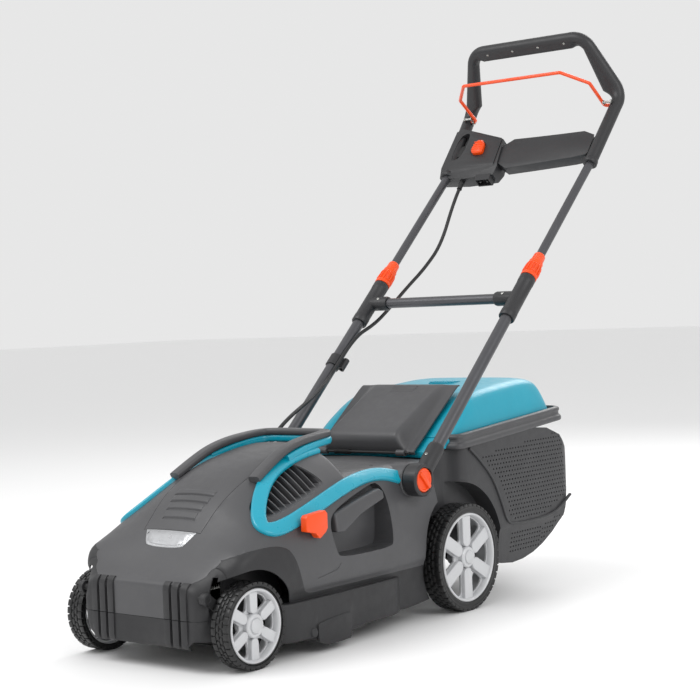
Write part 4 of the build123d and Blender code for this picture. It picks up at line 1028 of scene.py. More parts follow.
class MOWER_OT_grass_box(bpy.types.Operator):
    """Builds the pierced grass box, its rim and its raised lid"""
    bl_idname = "mower.grass_box"
    bl_label = "Grass box"
    bl_options = {"REGISTER", "UNDO"}

    def form(self, amount):
        """The box's body, moved inwards by amount."""
        outline = shrunk(rounded(BOX_SIDE, 2, closed=True).tolist(), amount)
        body = side_block("box_body", outline, -196 + amount, 196 - amount)
        half = [(x - amount, y - (amount if y > 900 else 0)) for x, y in BOX_PLAN]
        plan = [*map(tuple, rounded(half, 2))]
        carve(body, plan_block("plan", plan + [(-x, y) for x, y in reversed(plan)], 20, 500), "INTERSECT")
        section = [(172 - amount, 40), (188 - amount, 128), (191 - amount, 138), (196 - amount, 146),
                   (196 - amount, 420)]
        section = section + [(-x, z) for x, z in reversed(section)]
        carve(body, block_between("taper", section, 500, 1100, lambda u, v, d: place(u, d, v)),
              "INTERSECT")
        for facing in (1, -1):
            ring = ring_of(148 + amount, 96, (WHEELBASE, 106))
            ends = on_side(facing, 154 - amount, 260)
            carve(body, side_block("arch", ring, *ends))
        return body

    def execute(self, context):
        sizes = context.scene.mower_sizes
        body = self.form(0.0)
        carve(body, self.form(3.0))
        mouth = block_between("mouth", [(-90, 178), (90, 178), (90, 288), (-90, 288)], 555, 600,
                              lambda u, v, d: place(u, d, v))
        carve(body, mouth)
        upper = [(690, 300), (1004, 326), (1030, 190), (930, 158), (806, 156), (792, 172), (776, 216),
                 (740, 262)]
        lower = [(802, 128), (934, 130), (1012, 158), (985, 128), (925, 86), (806, 84)]
        pitch = sizes.hole_pitch * 1000
        spots = []
        for row in range(40):
            for column in range(60):
                y, z = 660 + (column + 0.5 * (row % 2)) * pitch, 76 + row * pitch * 0.87
                if inside((y, z), upper):
                    spots.append((y, z))
        for row in range(6):
            for column in range(24):
                y, z = 800 + column * pitch * 0.95, 88 + row * pitch * 0.9 + (column * 0.35 if column > 12 else 0)
                if inside((y, z), lower):
                    spots.append((y, z))
        for facing in (1, -1):
            pins = pins_at([place(facing * 190, y, z) for y, z in spots], sizes.hole_radius, 0.03,
                           (0.0, pi / 2, 0.0))
            carve(body, pins)
        rear = [(x * pitch * 1.1, z) for x in range(-13, 14) for z in range(205, 320, 10)]
        pins = pins_at([place(x, 1046 - (z - 173) * 0.155, z) for x, z in rear], sizes.hole_radius, 0.03,
                       (pi / 2, 0.0, 0.0))
        carve(body, pins)
        rib_path = rounded([(652, 318), (690, 290), (734, 248), (762, 196), (778, 158), (800, 146), (930,
                    146),
                            (985, 158), (1034, 184)], 3)
        ribs = []
        for facing in (1, -1):
            rib = swept("rib", [place(facing * 195.2, y, z) for y, z in rib_path], soft_rectangle(5, 7,
                        2.2),
                        ACROSS * facing)
            ribs.append(rib)
        dress(joined("grass_box_body", body, *ribs), "basket", "box", "grass_box", edge=0.0)
        self.rim()
        self.lid()
        return {"FINISHED"}

    def rim(self):
        """The stepped rim round the top of the box."""
        half = [(0, 622), (150, 622), (184, 624), (192, 634), (192, 660), (192, 980), (191, 1004), (182,
                    1017),
                (150, 1020), (0, 1020)]
        around = half + [(-x, y) for x, y in reversed(half[1:-1])]
        path = [place(x, y, rim_height(y)) for x, y in rounded(around, 3, closed=True)]
        section = rounded([(-10, -4), (2, -4), (6, -3), (6, 5), (3, 8), (0.5, 10), (0.5, 16), (2.5, 18),
                           (2, 23), (-3, 26), (-10, 26)], 2, closed=True).tolist()
        rim = swept("grass_box_rim", path, section, UP, closed=True)
        dress(rim, "cover", "box")
        half = [(0, 628), (180, 628), (188, 640), (188, 1000), (180, 1014), (0, 1014)]
        outline = rounded(half + [(-x, y) for x, y in reversed(half[1:-1])], 2, closed=True)
        points = [place(x, y, rim_height(y) + lift) for lift in (2, 6) for x, y in outline]
        count = len(outline)
        faces = [(i, (i + 1) % count, (i + 1) % count + count, i + count) for i in range(count)]
        faces += [tuple(range(count)), tuple(range(count, 2 * count))]
        dress(face_out(new_piece("grass_box_deck", points, faces)), "cover", "box")

    def lid(self):
        """The raised coloured lid with its seam, grip recess and fill indicator."""
        lid = lofted("lid_shell", LID, across=3, along=3)
        seam = side_block("seam", [(560, rim_height(560) + 21), (1100, rim_height(1100) + 21),
                                   (1100, rim_height(1100) + 22.4), (560, rim_height(560) + 22.4)], -260,
                                   260)
        carve(seam, lofted("lid_inner", LID, inset=1.2))
        carve(lid, seam)
        window = plan_block("window", rounded([(-38, 828), (38, 828), (38, 872), (-38, 872)], 2,
                                              closed=True),
                            436, 470)
        carve(lid, window)
        for x in (-120, 120):
            grip = turned("grip_recess", [(0, -8), (16, -3), (20, 6), (20, 20), (0, 20)],
                          place(x * 0.55, 768, 428), UP, 48)
            carve(lid, grip)
        dress(lid, "lid", "box", "grass_box_lid", edge=0.8)
        flap = plan_block("fill_plate", rounded([(-35, 830), (35, 830), (35, 870), (-35, 870)], 1,
                                                closed=True),
                          437, 440)
        tabs = plan_block("fill_tabs", [(-30, 836), (-27, 836), (-27, 864), (-30, 864)], 440, 442.5)
        repeated(tabs, 8, "lid", shift=(0.008, 0, 0))
        dress(joined("fill_indicator_plate", flap, tabs), "lid", "fill_indicator", "fill_flap", edge=0.5)


# ---------------------------------------------------------------- wheels
class MOWER_OT_wheels(bpy.types.Operator):
    """Builds the four tyres with block tread and the six-spoked rims"""
    bl_idname = "mower.wheels"
    bl_label = "Wheels"
    bl_options = {"REGISTER", "UNDO"}

    def execute(self, context):
        sizes = context.scene.mower_sizes
        for end, back, radius, inner_x, width, depth, blocks in (
                ("front", 0.0, 75.0, 159.0, 38.0, 11.0, sizes.front_blocks),
                ("rear", WHEELBASE, 106.0, 170.0, 45.0, 18.0, sizes.rear_blocks)):
            tyre = self.tyre(back, radius, inner_x, width, radius - depth, blocks,
                             sizes.block_height * 1000)
            rim = self.rim(back, radius, inner_x, width, radius - depth)
            for facing, name in ((1, "left"), (-1, "right")):
                for piece, kind, paint in ((tyre, "tyre", "tyre"), (rim, "rim", "rim")):
                    own = twin(piece, f"{end}_{kind}_{name}_built")
                    if facing < 0:
                        own.data.transform(Matrix.Diagonal((-1, 1, 1, 1)))
                        own.data.flip_normals()
                    dress(own, paint, f"{end}_wheel_{name}", f"{end}_{kind}_{name}",
                          edge=0.0 if kind == "tyre" else 0.9)
            for piece in (tyre, rim):
                bpy.data.objects.remove(piece)
        return {"FINISHED"}

    def tyre(self, back, radius, inner_x, width, rim_r, blocks, height):
        base = radius - height
        centre = place(0, back, radius)
        profile = [(rim_r - 0.2, 1.0), (rim_r + 2, 0.2), (base - 5, 0.2), (base - 1.6, 1.6), (base, 5.0),
                   (base, width - 5.0), (base - 1.6, width - 1.6), (base - 5, width - 0.4),
                   (base - 6.5, width - 1.0), (base - 7.5, width - 1.0), (rim_r + 3, width - 0.6),
                   (rim_r - 0.2, width - 2.5)]
        carcass = turned("tyre", profile, place(inner_x, back, radius), ACROSS, 96)
        turn = 2 * pi / blocks
        parts = [carcass]
        rows = ((0.6, 0.285 * width, 0.0, 0.86), (0.325 * width, 0.485 * width, 0.5, 0.8),
                (0.52 * width, 0.68 * width, 0.0, 0.8), (0.72 * width, width - 0.6, 0.5, 0.86))
        for low, high, offset, fill in rows:
            outline = []
            for r, shares in ((radius, (-0.5, 0.0, 0.5)), (base - 3.0, (0.5, 0.0, -0.5))):
                for share in shares:
                    angle = (offset + share * fill) * turn
                    outline.append((back + r * cos(angle), radius + r * sin(angle)))
            block = side_block("block", outline, inner_x + low, inner_x + high)
            softened(block, 0.0011, 2, 40)
            repeated(block, blocks, "tyre", step=turn, axis=(1, 0, 0), centre=centre)
            parts.append(block)
        return joined("tyre_built", *parts)

    def rim(self, back, radius, inner_x, width, rim_r):
        start = place(inner_x, back, radius)
        face = width - 6.0
        ring = turned("rim", [(rim_r, 3), (rim_r, width - 3), (rim_r - 1.5, width - 1), (rim_r - 4,
                    width - 1),
                              (rim_r - 6.5, width - 4), (rim_r - 7.5, face - 8), (rim_r - 5.5, face - 12),
                              (rim_r - 5, 3)], start, ACROSS, 96)
        web = turned("web", [(0, face - 13), (rim_r - 4, face - 13), (rim_r - 4, face - 8), (0,
                    face - 8)],
                     start, ACROSS, 96)
        reach = rim_r - 11
        for number in range(6):
            middle_angle = (number + 0.5) * pi / 3 + pi / 2
            corners = []
            for r, spread in ((19 + 0.10 * rim_r, 0.0), (reach * 0.86, -0.32), (reach + 2, -0.28),
                              (reach + 3, 0.0),
                              (reach + 2, 0.28), (reach * 0.86, 0.32)):
                angle = middle_angle + spread
                corners.append((back + r * cos(angle), radius + r * sin(angle)))
            hole = side_block("hole", rounded(corners, 1, closed=True), inner_x, inner_x + width)
            carve(web, hole)
        carve(ring, web, "UNION")
        half = 0.145 * rim_r
        inner_r = 20.5
        for number in range(6):
            angle = number * pi / 3 + pi / 2
            outline = [(inner_r + half - half * cos(t * pi / 8),
                        half * sin(t * pi / 8)) for t in range(-4, 5)]
            outline += [(rim_r - 9, half * 1.06), (rim_r - 5.8, half * 1.1), (rim_r - 5.8, -half * 1.1),
                        (rim_r - 9, -half * 1.06)]
            turned_outline = [(back + u * cos(angle) - v * sin(angle),
                               radius + u * sin(angle) + v * cos(angle))
                              for u, v in outline]
            spoke = side_block("spoke", turned_outline, inner_x + face - 11, inner_x + face + 1)
            carve(ring, softened(spoke, 0.0022, 3, 50), "UNION")
        hub = turned("hub", [(0, face - 14), (21, face - 14), (21, face + 0.5), (19, face + 3), (15,
                    face + 3.4),
                             (13.6, face + 2.2), (13, face + 2.2), (12.4, face + 5), (11, face + 5.8),
                             (0, face + 6)], start, ACROSS, 64)
        bore = turned("bore", [(6.1, 0), (16, 0), (16, face - 10), (6.1, face - 10)], start, ACROSS, 48)
        carve(ring, hub, "UNION")
        return carve(ring, bore, "UNION")


# ---------------------------------------------------------------- handle
TUBE_OUT = Vector((0, -sin(HANDLE_ANGLE), cos(HANDLE_ANGLE)))
LEG = Vector((0, 0.6287, 0.7777))
LEG_OUT = Vector((0, -0.7777, 0.6287))


def on_panel(x, v, w=0.0):
    """A point of the switch panel: across, up the legs from their foot, and out of their plane."""
    return place(x, 1168, 911) + LEG * (v / 1000) + LEG_OUT * (w / 1000)


def panel_block(name, outline, low, high):
    """A block whose outline is drawn on the switch panel."""
    return block_between(name, outline, low, high, on_panel)


def slotted_screw(name, spot, axis, radius, height):
    """A domed screw head with a cross recess."""
    head = turned(name, [(0, -height), (radius, -height), (radius, height * 0.4), (radius * 0.7, height),
                         (0, height * 1.15)], spot, axis, 24)
    axis = axis.normalized()
    u = axis.orthogonal().normalized()
    v = axis.cross(u)
    for first, second in ((u, v), (v, u)):
        corners = [spot + (first * a + second * b) * (radius / 1000) + axis * c * (height / 1000)
                   for c in (0.45, 1.6) for a, b in ((-0.55, -0.11), (0.55, -0.11), (0.55, 0.11), (-0.55,
                               0.11))]
        faces = [(0, 1, 2, 3), (4, 5, 6, 7), (0, 1, 5, 4), (1, 2, 6, 5), (2, 3, 7, 6), (3, 0, 4, 7)]
        carve(head, face_out(new_piece("slot", corners, faces)))
    return head


class MOWER_OT_handle_joints(bpy.types.Operator):
    """Builds the pivot brackets, knobs, tees and collars of the handle"""
    bl_idname = "mower.handle_joints"
    bl_label = "Handle joints"
    bl_options = {"REGISTER", "UNDO"}

    def execute(self, context):
        sizes = context.scene.mower_sizes
        pivot = place(0, *PIVOT)
        disc = turned("bracket", [(6.2, 178.5), (30.5, 178.5), (32, 180), (32, 206.5), (29.5, 209),
                                  (25.5, 209),
                                  (24, 207.6), (24, 201.5), (6.2, 201.5)], pivot, ACROSS, 72)
        sleeve = turned("sleeve", [(0, 8), (17, 8), (17, 80), (15.5, 86), (12.6, 86), (12.6, 26), (0,
                    26)],
                        on_tube(TUBE_X, 0), TUBE, 48)
        recess = turned("recess", [(0, 201), (24, 201), (24, 230), (0, 230)], pivot, ACROSS, 72)
        carve(sleeve, recess)
        room = turned("room", [(0, 170), (40, 170), (40, 178.5), (0, 178.5)], pivot, ACROSS, 48)
        carve(sleeve, room)
        carve(disc, turned("bore", [(0, 26), (12.6, 26), (12.6, 90), (0, 90)], on_tube(TUBE_X, 0), TUBE,
                           48))
        carve(disc, sleeve, "UNION")
        dress(both_sides(disc, "brackets"), "grip", "handle_low", "handle_brackets", edge=0.8)
        screw = slotted_screw("screw", on_tube(TUBE_X, 52) + TUBE_OUT * 0.0168, TUBE_OUT, 3.4, 1.4)
        dress(both_sides(screw, "bracket_screws"), "zinc", "handle_low")

        knob = turned("knob", [(0, 201.6), (22, 201.6), (23.2, 202.8), (23.2, 207.2), (22, 208.6), (19,
                    208.8),
                               (17.5, 207.4), (0, 207.2)], pivot, ACROSS, 64)
        bar = [(-20.5, -3.2), (-18.5, -4.6), (18.5, -4.6), (20.5, -3.2), (20.5, 3.2), (18.5, 4.6),
               (-18.5, 4.6), (-20.5, 3.2)]
        turn = HANDLE_ANGLE - pi / 2
        outline = [(PIVOT[0] + a * cos(turn) - b * sin(turn), PIVOT[1] + a * sin(turn) + b * cos(turn))
                   for a, b in bar]
        grip = side_block("grip", outline, 204, 213)
        carve(knob, softened(grip, 0.0018, 3), "UNION")
        for facing, name in ((1, "left"), (-1, "right")):
            own = twin(knob, f"knob_{name}") if facing > 0 else mirrored(knob, f"knob_{name}")
            dress(own, "control", f"knob_{name}", f"pivot_knob_{name}", edge=0.5)
        bpy.data.objects.remove(knob)

        tee = turned("tee", [(12.6, 444), (16.3, 444), (17.6, 446), (17.6, 462), (17, 463.5), (17, 547),
                             (17.6, 548.5), (17.6, 564), (16.3, 566), (12.6, 566)], on_tube(TUBE_X, 0),
                             TUBE, 56)
        solid = turned("tee solid", [(0, 440), (12.6, 440), (12.6, 570), (0, 570)], on_tube(TUBE_X, 0),
                       TUBE, 56)
        arm = turned("arm", [(0, 5), (15.6, 5), (15.6, 48), (14.2, 52), (11.1, 52), (11.1, 15), (0, 15)],
                     on_tube(TUBE_X, 505), -ACROSS, 48)
        carve(arm, solid)
        carve(tee, arm, "UNION")
        dress(both_sides(tee, "tees"), "grip", "handle_low", "tee_connectors", edge=0.8)
        screw = slotted_screw("screw", on_tube(TUBE_X - 30, 505) + TUBE_OUT * 0.0155, TUBE_OUT, 3.2, 1.2)
        dress(both_sides(screw, "tee_screws"), "zinc", "handle_low")

        for facing, name in ((1, "left"), (-1, "right")):
            body = turned("collar", [(12.7, 566.5), (17.2, 566.5), (18, 567.6), (18, 574), (16.8, 576),
                                     (15.6, 604), (15.4, 612), (13.6, 616), (12.6, 633), (11.6, 635),
                                     (9.9, 635),
                                     (9.9, 612), (12.7, 606)], on_tube(facing * TUBE_X, 0), TUBE, 56)
            rib = block_between("rib", [(577, 13.5), (577, 18.5), (580, 18.9), (598, 17.9), (603, 16.6),
                                        (606, 13)],
                                -1.35, 1.35,
                                lambda u, v, d, f=facing: on_tube(f * TUBE_X, u) + TUBE_OUT * (v / 1000)
                                + ACROSS * (d / 1000))
            repeated(rib, sizes.collar_ribs, "control", step=2 * pi / sizes.collar_ribs, axis=TUBE,
                     centre=on_tube(facing * TUBE_X, 0))
            carve(body, rib, "UNION")
            dress(body, "control", f"collar_{name}", f"clamp_collar_{name}", edge=0.5)
        return {"FINISHED"}


class MOWER_OT_handlebar(bpy.types.Operator):
    """Builds the handlebar with its inner grip ridge and screws"""
    bl_idname = "mower.handlebar"
    bl_label = "Handlebar"
    bl_options = {"REGISTER", "UNDO"}

    def execute(self, context):
        bend, corner = Vector((207, 1303, 1078)), Vector((150, 1235, 1210))
        foot = Vector((195, 1168, 911))
        half = self.filleted([foot, bend, corner, Vector((-150, 1235, 1210))], 42)
        half = [p for p in half if p.x > 1]
        straight = [foot.lerp(half[1], t / 6) for t in range(1, 6)]
        half[1:1] = straight
        over = [half[-1].lerp(Vector((-half[-1].x, half[-1].y, half[-1].z)), t / 18) for t in range(1,
                    18)]
        line = half + over + [Vector((-p.x, p.y, p.z)) for p in reversed(half)]
        middle_point = Vector((0, 1230, 1090))
        rows = []
        for i, here in enumerate(line):
            ahead = (line[min(i + 1, len(line) - 1)] - line[max(i - 1, 0)]).normalized()
            inward = (middle_point - here)
            inward = (inward - ahead * inward.dot(ahead)).normalized()
            if i < len(half) and here.z < 1050 or i >= len(line) - len(half) and here.z < 1050:
                inward = Vector((-1 if here.x > 0 else 1, 0, 0))
                inward = (inward - ahead * inward.dot(ahead)).normalized()
            front = inward.cross(ahead).normalized()
            if front.y > 0:
                front = -front
            rows.append((here, inward, front, self.ridge(here), self.swell(here)))
        rings = []
        for here, inward, front, ridge, swell in rows:
            ring = []
            for step_number in range(40):
                angle = 2 * pi * step_number / 40
                u, v = 14.5 * cos(angle), 14.5 * sin(angle)
                if u > 0:
                    u *= 1 + swell
                fin = max(0.0, cos(angle)) ** 9 * ridge
                u += fin
                spot = here + inward * u + front * v
                ring.append(place(*spot))
            rings.append(ring)
        bar = grid_body("bar", rings)
        for facing in (1, -1):
            sleeve = turned("sleeve", [(9.7, 0), (15.4, 0), (16.6, 1.2), (16.6, 11), (15.4, 12.6), (9.7,
                        12.6)],
                            place(facing * 195, 1168, 911), LEG, 48)
            bore = turned("bore", [(0, -4), (9.7, -4), (9.7, 30), (0, 30)], place(facing * 195, 1168,
                        911), LEG, 40)
            carve(bar, bore)
            carve(bar, sleeve, "UNION")
        dress(bar, "grip", "handle_high", "handlebar", edge=0.0, smooth=55)
        top = slotted_screw("screw", place(-105, 1235 - 9.5, 1210 - 11.5), Vector((0, -0.62, -0.78)),
                            3.0, 1.4)
        repeated(top, 4, "zinc", shift=(0.07, 0, 0))
        legs = []
        for facing in (1, -1):
            spot = bend.lerp(corner, 0.42)
            legs.append(slotted_screw("screw", place(facing * (spot.x - 6), spot.y - 11, spot.z - 8),
                                      Vector((-0.3 * facing, -0.78, -0.55)), 3.0, 1.4))
        dress(joined("handlebar_screw_heads", top, *legs), "zinc", "handle_high", "handlebar_screws")
        return {"FINISHED"}

    def filleted(self, corners, radius):
        """A bent line with its corners rounded by arcs."""
        line = [corners[0]]
        for before, here, after in zip(corners, corners[1:], corners[2:]):
            a, b = (before - here).normalized(), (after - here).normalized()
            half_angle = a.angle(b) / 2
            centre = here + (a + b).normalized() * (radius / sin(half_angle))
            start = here + a * (radius / np.tan(half_angle))
            end = here + b * (radius / np.tan(half_angle))
            for t in range(11):
                mid = start.lerp(end, t / 10) - centre
                line.append(centre + mid.normalized() * radius)
        return line

    def ridge(self, here):
        """How far the inner ridge stands out: along the top bar and its corners."""
        if here.z > 1190:
            return 9.0 * smoothstep((150 - abs(here.x)) / 30)
        return 4.0 * smoothstep((here.z - 1095) / 30) * smoothstep((1192 - here.z) / 22)

    def swell(self, here):
        """How much thicker the side grips are inwards."""
        return 1.15 * smoothstep((here.z - 1062) / 46) * smoothstep((1186 - here.z) / 40)


class MOWER_OT_controls(bpy.types.Operator):
    """Builds the switch box, its panel, the start button, the lever slot and the cable entry"""
    bl_idname = "mower.controls"
    bl_label = "Controls"
    bl_options = {"REGISTER", "UNDO"}

    def execute(self, context):
        box = panel_block("switch_housing", [(-212, -4), (-213, 138), (-196, 146), (-70, 101), (-62, 95),
                                             (-52, 14), (-60, -6), (-140, -10)], -26, 15)
        low = block_between("low", [(-40, -8), (26, 17), (-40, 17)], -260, 0, lambda u, v, d: on_panel(d,
                    u, v))
        carve(box, low)
        bore = turned("bore", [(0, -40), (9.7, -40), (9.7, 200), (0, 200)], place(-195, 1168, 911), LEG,
                      40)
        carve(box, bore)
        slot = panel_block("slot", rounded([(-196, 46), (-196, 118), (-176, 132), (-166, 118), (-166, 62),
                                            (-180, 42)], 1, closed=True), 0, 30)
        carve(box, slot)
        frame_line = panel_block("line", [(-61, -20), (-58, -20), (-66, 110), (-69, 110)], 13, 30)
        carve(box, frame_line)
        seat = panel_block("seat", rounded([(-146, 52), (-140, 98), (-112, 96), (-104, 60), (-106, 50)],
                                           1,
                                           closed=True), 13.6, 30)
        carve(box, seat)
        dress(box, "grip", "handle_high", "switch_box", edge=2.2, segments=3)
        lever = panel_block("slot_lever", rounded([(-190, 58), (-188, 88), (-176, 96), (-171, 84), (-173,
                    60)], 1,
                                                  closed=True), -8, 9)
        dress(lever, "inner", "bail_lever", edge=1.2)
        link = panel_block("lever_link", [(-178, 88), (-175, 88), (-170, 112), (-173, 112)], 2, 5)
        dress(link, "zinc", "bail_lever", edge=0.4)

        panel = panel_block("cross_cover", rounded([(-58, 4), (-64, 95), (60, 94), (188, 96), (190, 30),
                                                    (180, 18),
                                                    (60, 10)], 1, closed=True), -14, 12)
        low = block_between("low", [(-40, -6), (20, 14), (-40, 14)], -80, 220, lambda u, v,
                            d: on_panel(d, u, v))
        carve(panel, low)
        keep_clear = turned("bore", [(0, -40), (14.4, -40), (14.4, 200), (0, 200)], place(195, 1168,
                    911), LEG, 40)
        carve(panel, keep_clear)
        dress(panel, "grip", "handle_high", "cross_panel", edge=2.2, segments=3)

        rows = []
        for w, grow in ((8.0, 0.0), (21.0, 0.0), (24.0, -2.6), (25.0, -5.0)):
            outline = rounded([(-143 - grow, 55 - grow), (-135 - grow * 0.7, 97 + grow), (-112 + grow,
                        94 + grow),
                               (-106 + grow, 62), (-109 + grow, 53 - grow)], 2, closed=True)
            rows.append([on_panel(u, v, w) for u, v in outline])
        button = grid_body("start_button", rows)
        dress(button, "control", "start_button", "safety_button", edge=0.4)
        rib = panel_block("button_rib", [(-137, 63), (-112, 62), (-112, 64), (-137, 65)], 24.4, 26)
        repeated(rib, 4, "control", shift=LEG * 0.0075)
        dress(rib, "control", "start_button", edge=0.4)

        boot = turned("boot", [(4.1, -4), (10.5, -4), (10.5, 1), (8.6, 2), (8.2, 5), (7.2, 6), (7.2, 12),
                               (6.4, 13),
                               (6.4, 19), (7.0, 20), (7.0, 22), (5.8, 23), (5.4, 36), (6.2, 36.5), (6.2,
                                           38),
                               (4.1, 38)], on_panel(-150, 4, -6), -LEG, 32)
        dress(boot, "cable", "handle_high", "strain_relief")
        for facing in (1, -1):
            pin = turned("pin", [(0, -14), (4.6, -14), (4.6, -11), (3.0, -11), (3.0, 6), (5.2, 6), (5.2,
                        8), (0, 8.6)],
                         place(facing * 190, 1277 - 14, 1052 + 6), ACROSS * -facing, 24)
            dress(pin, "zinc", "handle_high")
        return {"FINISHED"}


class MOWER_OT_grips(bpy.types.Operator):
    """Builds the side grip bars and the height button"""
    bl_idname = "mower.grips"
    bl_label = "Side grips and height button"
    bl_options = {"REGISTER", "UNDO"}

    def execute(self, context):
        outline = [(220, 205), (225, 238), (300, 256), (366, 269), (378, 262), (376, 249), (300, 229),
                   (242, 204)]
        bar = block_between("grip_bar", outline, -10, 10,
                            lambda u, v, d: place(191 + d - (v - 205) * 0.24, u, v))
        dress(both_sides(bar, "grip_bars"), "cover", "chassis", edge=4.5, segments=4)
        outline = [(110, 220), (110, 244), (116, 248), (182, 252), (190, 246), (190, 220), (182, 213),
                   (160, 204),
                   (154, 206), (144, 214)]
        button = side_block("height_button_built", [(150 + (u - 150) * 0.72, v) for u, v in outline],
                            199, 213)
        stem = turned("stem", [(0, 0), (6.1, 0), (6.1, 12), (0, 12)], place(189, 150, 226), ACROSS, 32)
        carve(button, stem, "UNION")
        dress(button, "control", "height_lock", "height_button", edge=2.0, segments=3)
        return {"FINISHED"}


# ---------------------------------------------------------------- cables and running gear
class MOWER_OT_cables(bpy.types.Operator):
    """Builds the two visible runs of the switch cable"""
    bl_idname = "mower.cables"
    bl_label = "Cables"
    bl_options = {"REGISTER", "UNDO"}

    def execute(self, context):
        up_leg = LEG
        relief = on_panel(-150, 4, -6) - up_leg * 0.038
        clip_middle = on_tube(-TUBE_X, 322) + ACROSS * 0.021 + TUBE_OUT * 0.008
        upper = [relief, relief - up_leg * 0.04, place(-156, 1078, 750), place(-164, 1020, 695),
                 place(-172, 960, 652), place(-174, 895, 607), place(-171, 832, 571),
                 clip_middle + TUBE * 0.07,
                 clip_middle]
        lower = [clip_middle, clip_middle - TUBE * 0.04, place(-160, 640, 452), place(-146, 585, 428),
                 place(-132, 525, 409), place(-120, 465, 388), place(-112, 415, 362), place(-108, 390,
                             335),
                 place(-108, 385, 300)]
        for name, route, length in (("cable_upper", upper, 0.600), ("cable_lower", lower, 0.405)):
            curve = bpy.data.curves.new(name + "_route", "CURVE")
            curve.dimensions = "3D"
            spline = curve.splines.new("NURBS")
            spline.points.add(len(route) - 1)
            for point, spot in zip(spline.points, route):
                point.co = (*spot, 1.0)
            spline.order_u, spline.use_endpoint_u, spline.resolution_u = 3, True, 12
            holder = bpy.data.objects.new(name + "_route", curve)
            bpy.context.scene.collection.objects.link(holder)
            path = [v.co.copy() for v in bpy.data.meshes.new_from_object(holder).vertices]
            bpy.data.objects.remove(holder)
            tube = swept(name + "_built", path, ring_of(4.0, 16), ACROSS)
            dress(tube, "cable", None, name)
            if name == "cable_upper":
                tuple(route[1])
                tuple(route[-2])
                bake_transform(tube)
            else:
                tuple(route[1])
                tuple(route[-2])
                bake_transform(tube)
            tuple(route[0])
        return {"FINISHED"}


class MOWER_OT_running_gear(bpy.types.Operator):
    """Gives the axles, motor, blade and other working parts their finishes"""
    bl_idname = "mower.running_gear"
    bl_label = "Working parts"
    bl_options = {"REGISTER", "UNDO"}

    def execute(self, context):
        repaint("tube", "lower_tubes", "upper_tubes", "cross_tube")
        repaint("bail", "bail")
        repaint("inner", "flap_hinge_pin", "flap_spring", "front_axle", "rear_axle", "height_link",
                "cooling_fan")
        repaint("zinc", "lift_spring", "bail_spring", "blade_fasteners")
        repaint("steel", "blade", "motor_rotor", "motor_bearings")
        repaint("winding", "motor_stator")
        repaint("casting", "motor_shields", "blade_hub")
        repaint("sleeve", "run_capacitor")
        repaint("skirt", "discharge_chute")
        repaint("grip", "cable_clip", "mains_inlet", "microswitch")
        return {"FINISHED"}


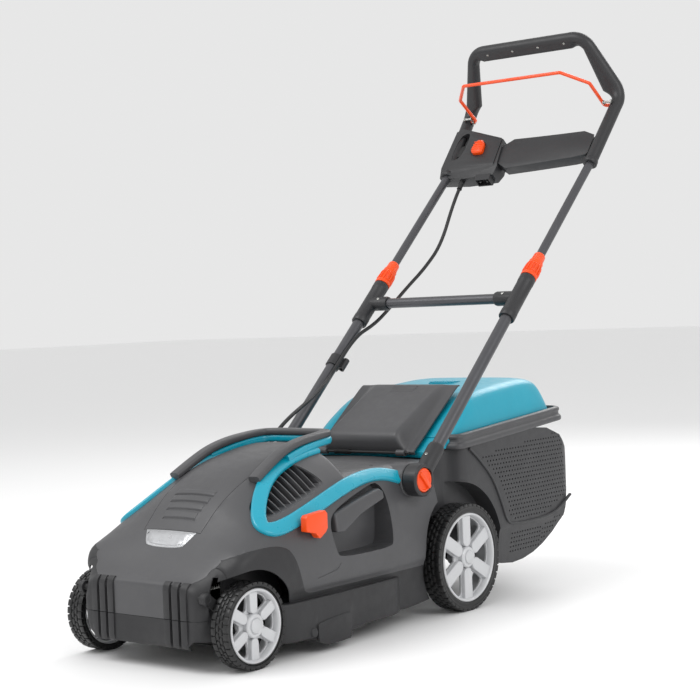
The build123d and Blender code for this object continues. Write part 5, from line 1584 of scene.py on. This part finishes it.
class MOWER_OT_stage(bpy.types.Operator):
    """Sets the pale floor, the soft lights and the camera"""
    bl_idname = "mower.stage"
    bl_label = "Stage"
    bl_options = {"REGISTER", "UNDO"}

    def execute(self, context):
        scene = context.scene
        floor = new_piece("floor", [(x, y, 0) for x, y in ((-30, -30), (30, -30), (30, 30), (-30, 30))],
                          [(0, 1, 2, 3)])
        paint = bpy.data.materials.new("pale floor")
        paint.use_nodes = True
        shader = paint.node_tree.nodes["Principled BSDF"]
        shader.inputs["Base Color"].default_value = (0.9, 0.9, 0.9, 1)
        shader.inputs["Roughness"].default_value = 0.6
        floor.data.materials.append(paint)
        world = bpy.data.worlds.new("studio")
        scene.world = world
        world.use_nodes = True
        background = world.node_tree.nodes["Background"]
        background.inputs["Color"].default_value = (1, 1, 1, 1)
        background.inputs["Strength"].default_value = 0.8
        for name, spot, size, power in (
                ("key", (-1.2, -2.4, 3.4), 2.4, 75.0), ("side", (3.2, -0.6, 2.2), 1.8, 38.0),
                ("back", (-0.5, 3.0, 2.6), 2.0, 40.0)):
            lamp = bpy.data.lights.new(name, "AREA")
            lamp.size, lamp.energy = size, power
            light = bpy.data.objects.new(name, lamp)
            light.location = spot
            light.rotation_euler = (Vector((0, 0, 0.45)) - Vector(spot)).to_track_quat("-Z",
                        "Y").to_euler()
            scene.collection.objects.link(light)
        scene.view_settings.view_transform = "Standard"
        self.camera(scene)
        return {"FINISHED"}

    def camera(self, scene):
        """The camera stands ahead of the left front corner, a little above the hood."""
        yaw, pitch, roll = radians(38.654), radians(-1.329), radians(-2.202)
        ahead = Vector((-sin(yaw) * cos(pitch), cos(yaw) * cos(pitch), sin(pitch)))
        right = ahead.cross(UP).normalized()
        high = right.cross(ahead)
        turned_right = right * cos(roll) + high * sin(roll)
        turned_high = high * cos(roll) - right * sin(roll)
        lens = bpy.data.cameras.new("camera")
        lens.lens, lens.sensor_width = 83.3, 36.0
        lens.clip_start, lens.clip_end = 0.1, 50.0
        camera = bpy.data.objects.new("camera", lens)
        turn = Matrix((turned_right, turned_high, -ahead)).transposed().to_4x4()
        camera.matrix_world = Matrix.Translation(place(2038.5, -2022.2, 599.5)) @ turn
        scene.collection.objects.link(camera)
        scene.camera = camera


STEPS = [MOWER_OT_stage, MOWER_OT_covers, MOWER_OT_vents, MOWER_OT_trims, MOWER_OT_carry,
         MOWER_OT_flap, MOWER_OT_grass_box, MOWER_OT_wheels, MOWER_OT_handle_joints,
         MOWER_OT_handlebar, MOWER_OT_controls, MOWER_OT_grips, MOWER_OT_cables, MOWER_OT_running_gear]


class MOWER_PT_panel(bpy.types.Panel):
    """Lists the mower's settings and building steps"""
    bl_idname = "MOWER_PT_panel"
    bl_label = "Electric lawn mower"
    bl_space_type = "VIEW_3D"
    bl_region_type = "UI"
    bl_category = "Mower"

    def draw(self, context):
        for group in (context.scene.mower_sizes, context.scene.mower_colours):
            box = self.layout.box()
            for name in group.bl_rna.properties.keys():
                if name not in ("rna_type", "name"):
                    box.prop(group, name)
        for item in STEPS:
            self.layout.operator(item.bl_idname)


CLASSES = [MowerColours, MowerSizes, *STEPS, MOWER_PT_panel]


def register():
    for item in CLASSES:
        bpy.utils.register_class(item)
    bpy.types.Scene.mower_colours = PointerProperty(type=MowerColours)
    bpy.types.Scene.mower_sizes = PointerProperty(type=MowerSizes)


def unregister():
    del bpy.types.Scene.mower_sizes
    del bpy.types.Scene.mower_colours
    for item in reversed(CLASSES):
        bpy.utils.unregister_class(item)


def main():
    """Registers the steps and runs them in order."""
    register()
    make_finishes(bpy.context.scene.mower_colours)
    for item in STEPS:
        group, name = item.bl_idname.split(".")
        getattr(getattr(bpy.ops, group), name)()


if __name__ == "__main__":
    main()
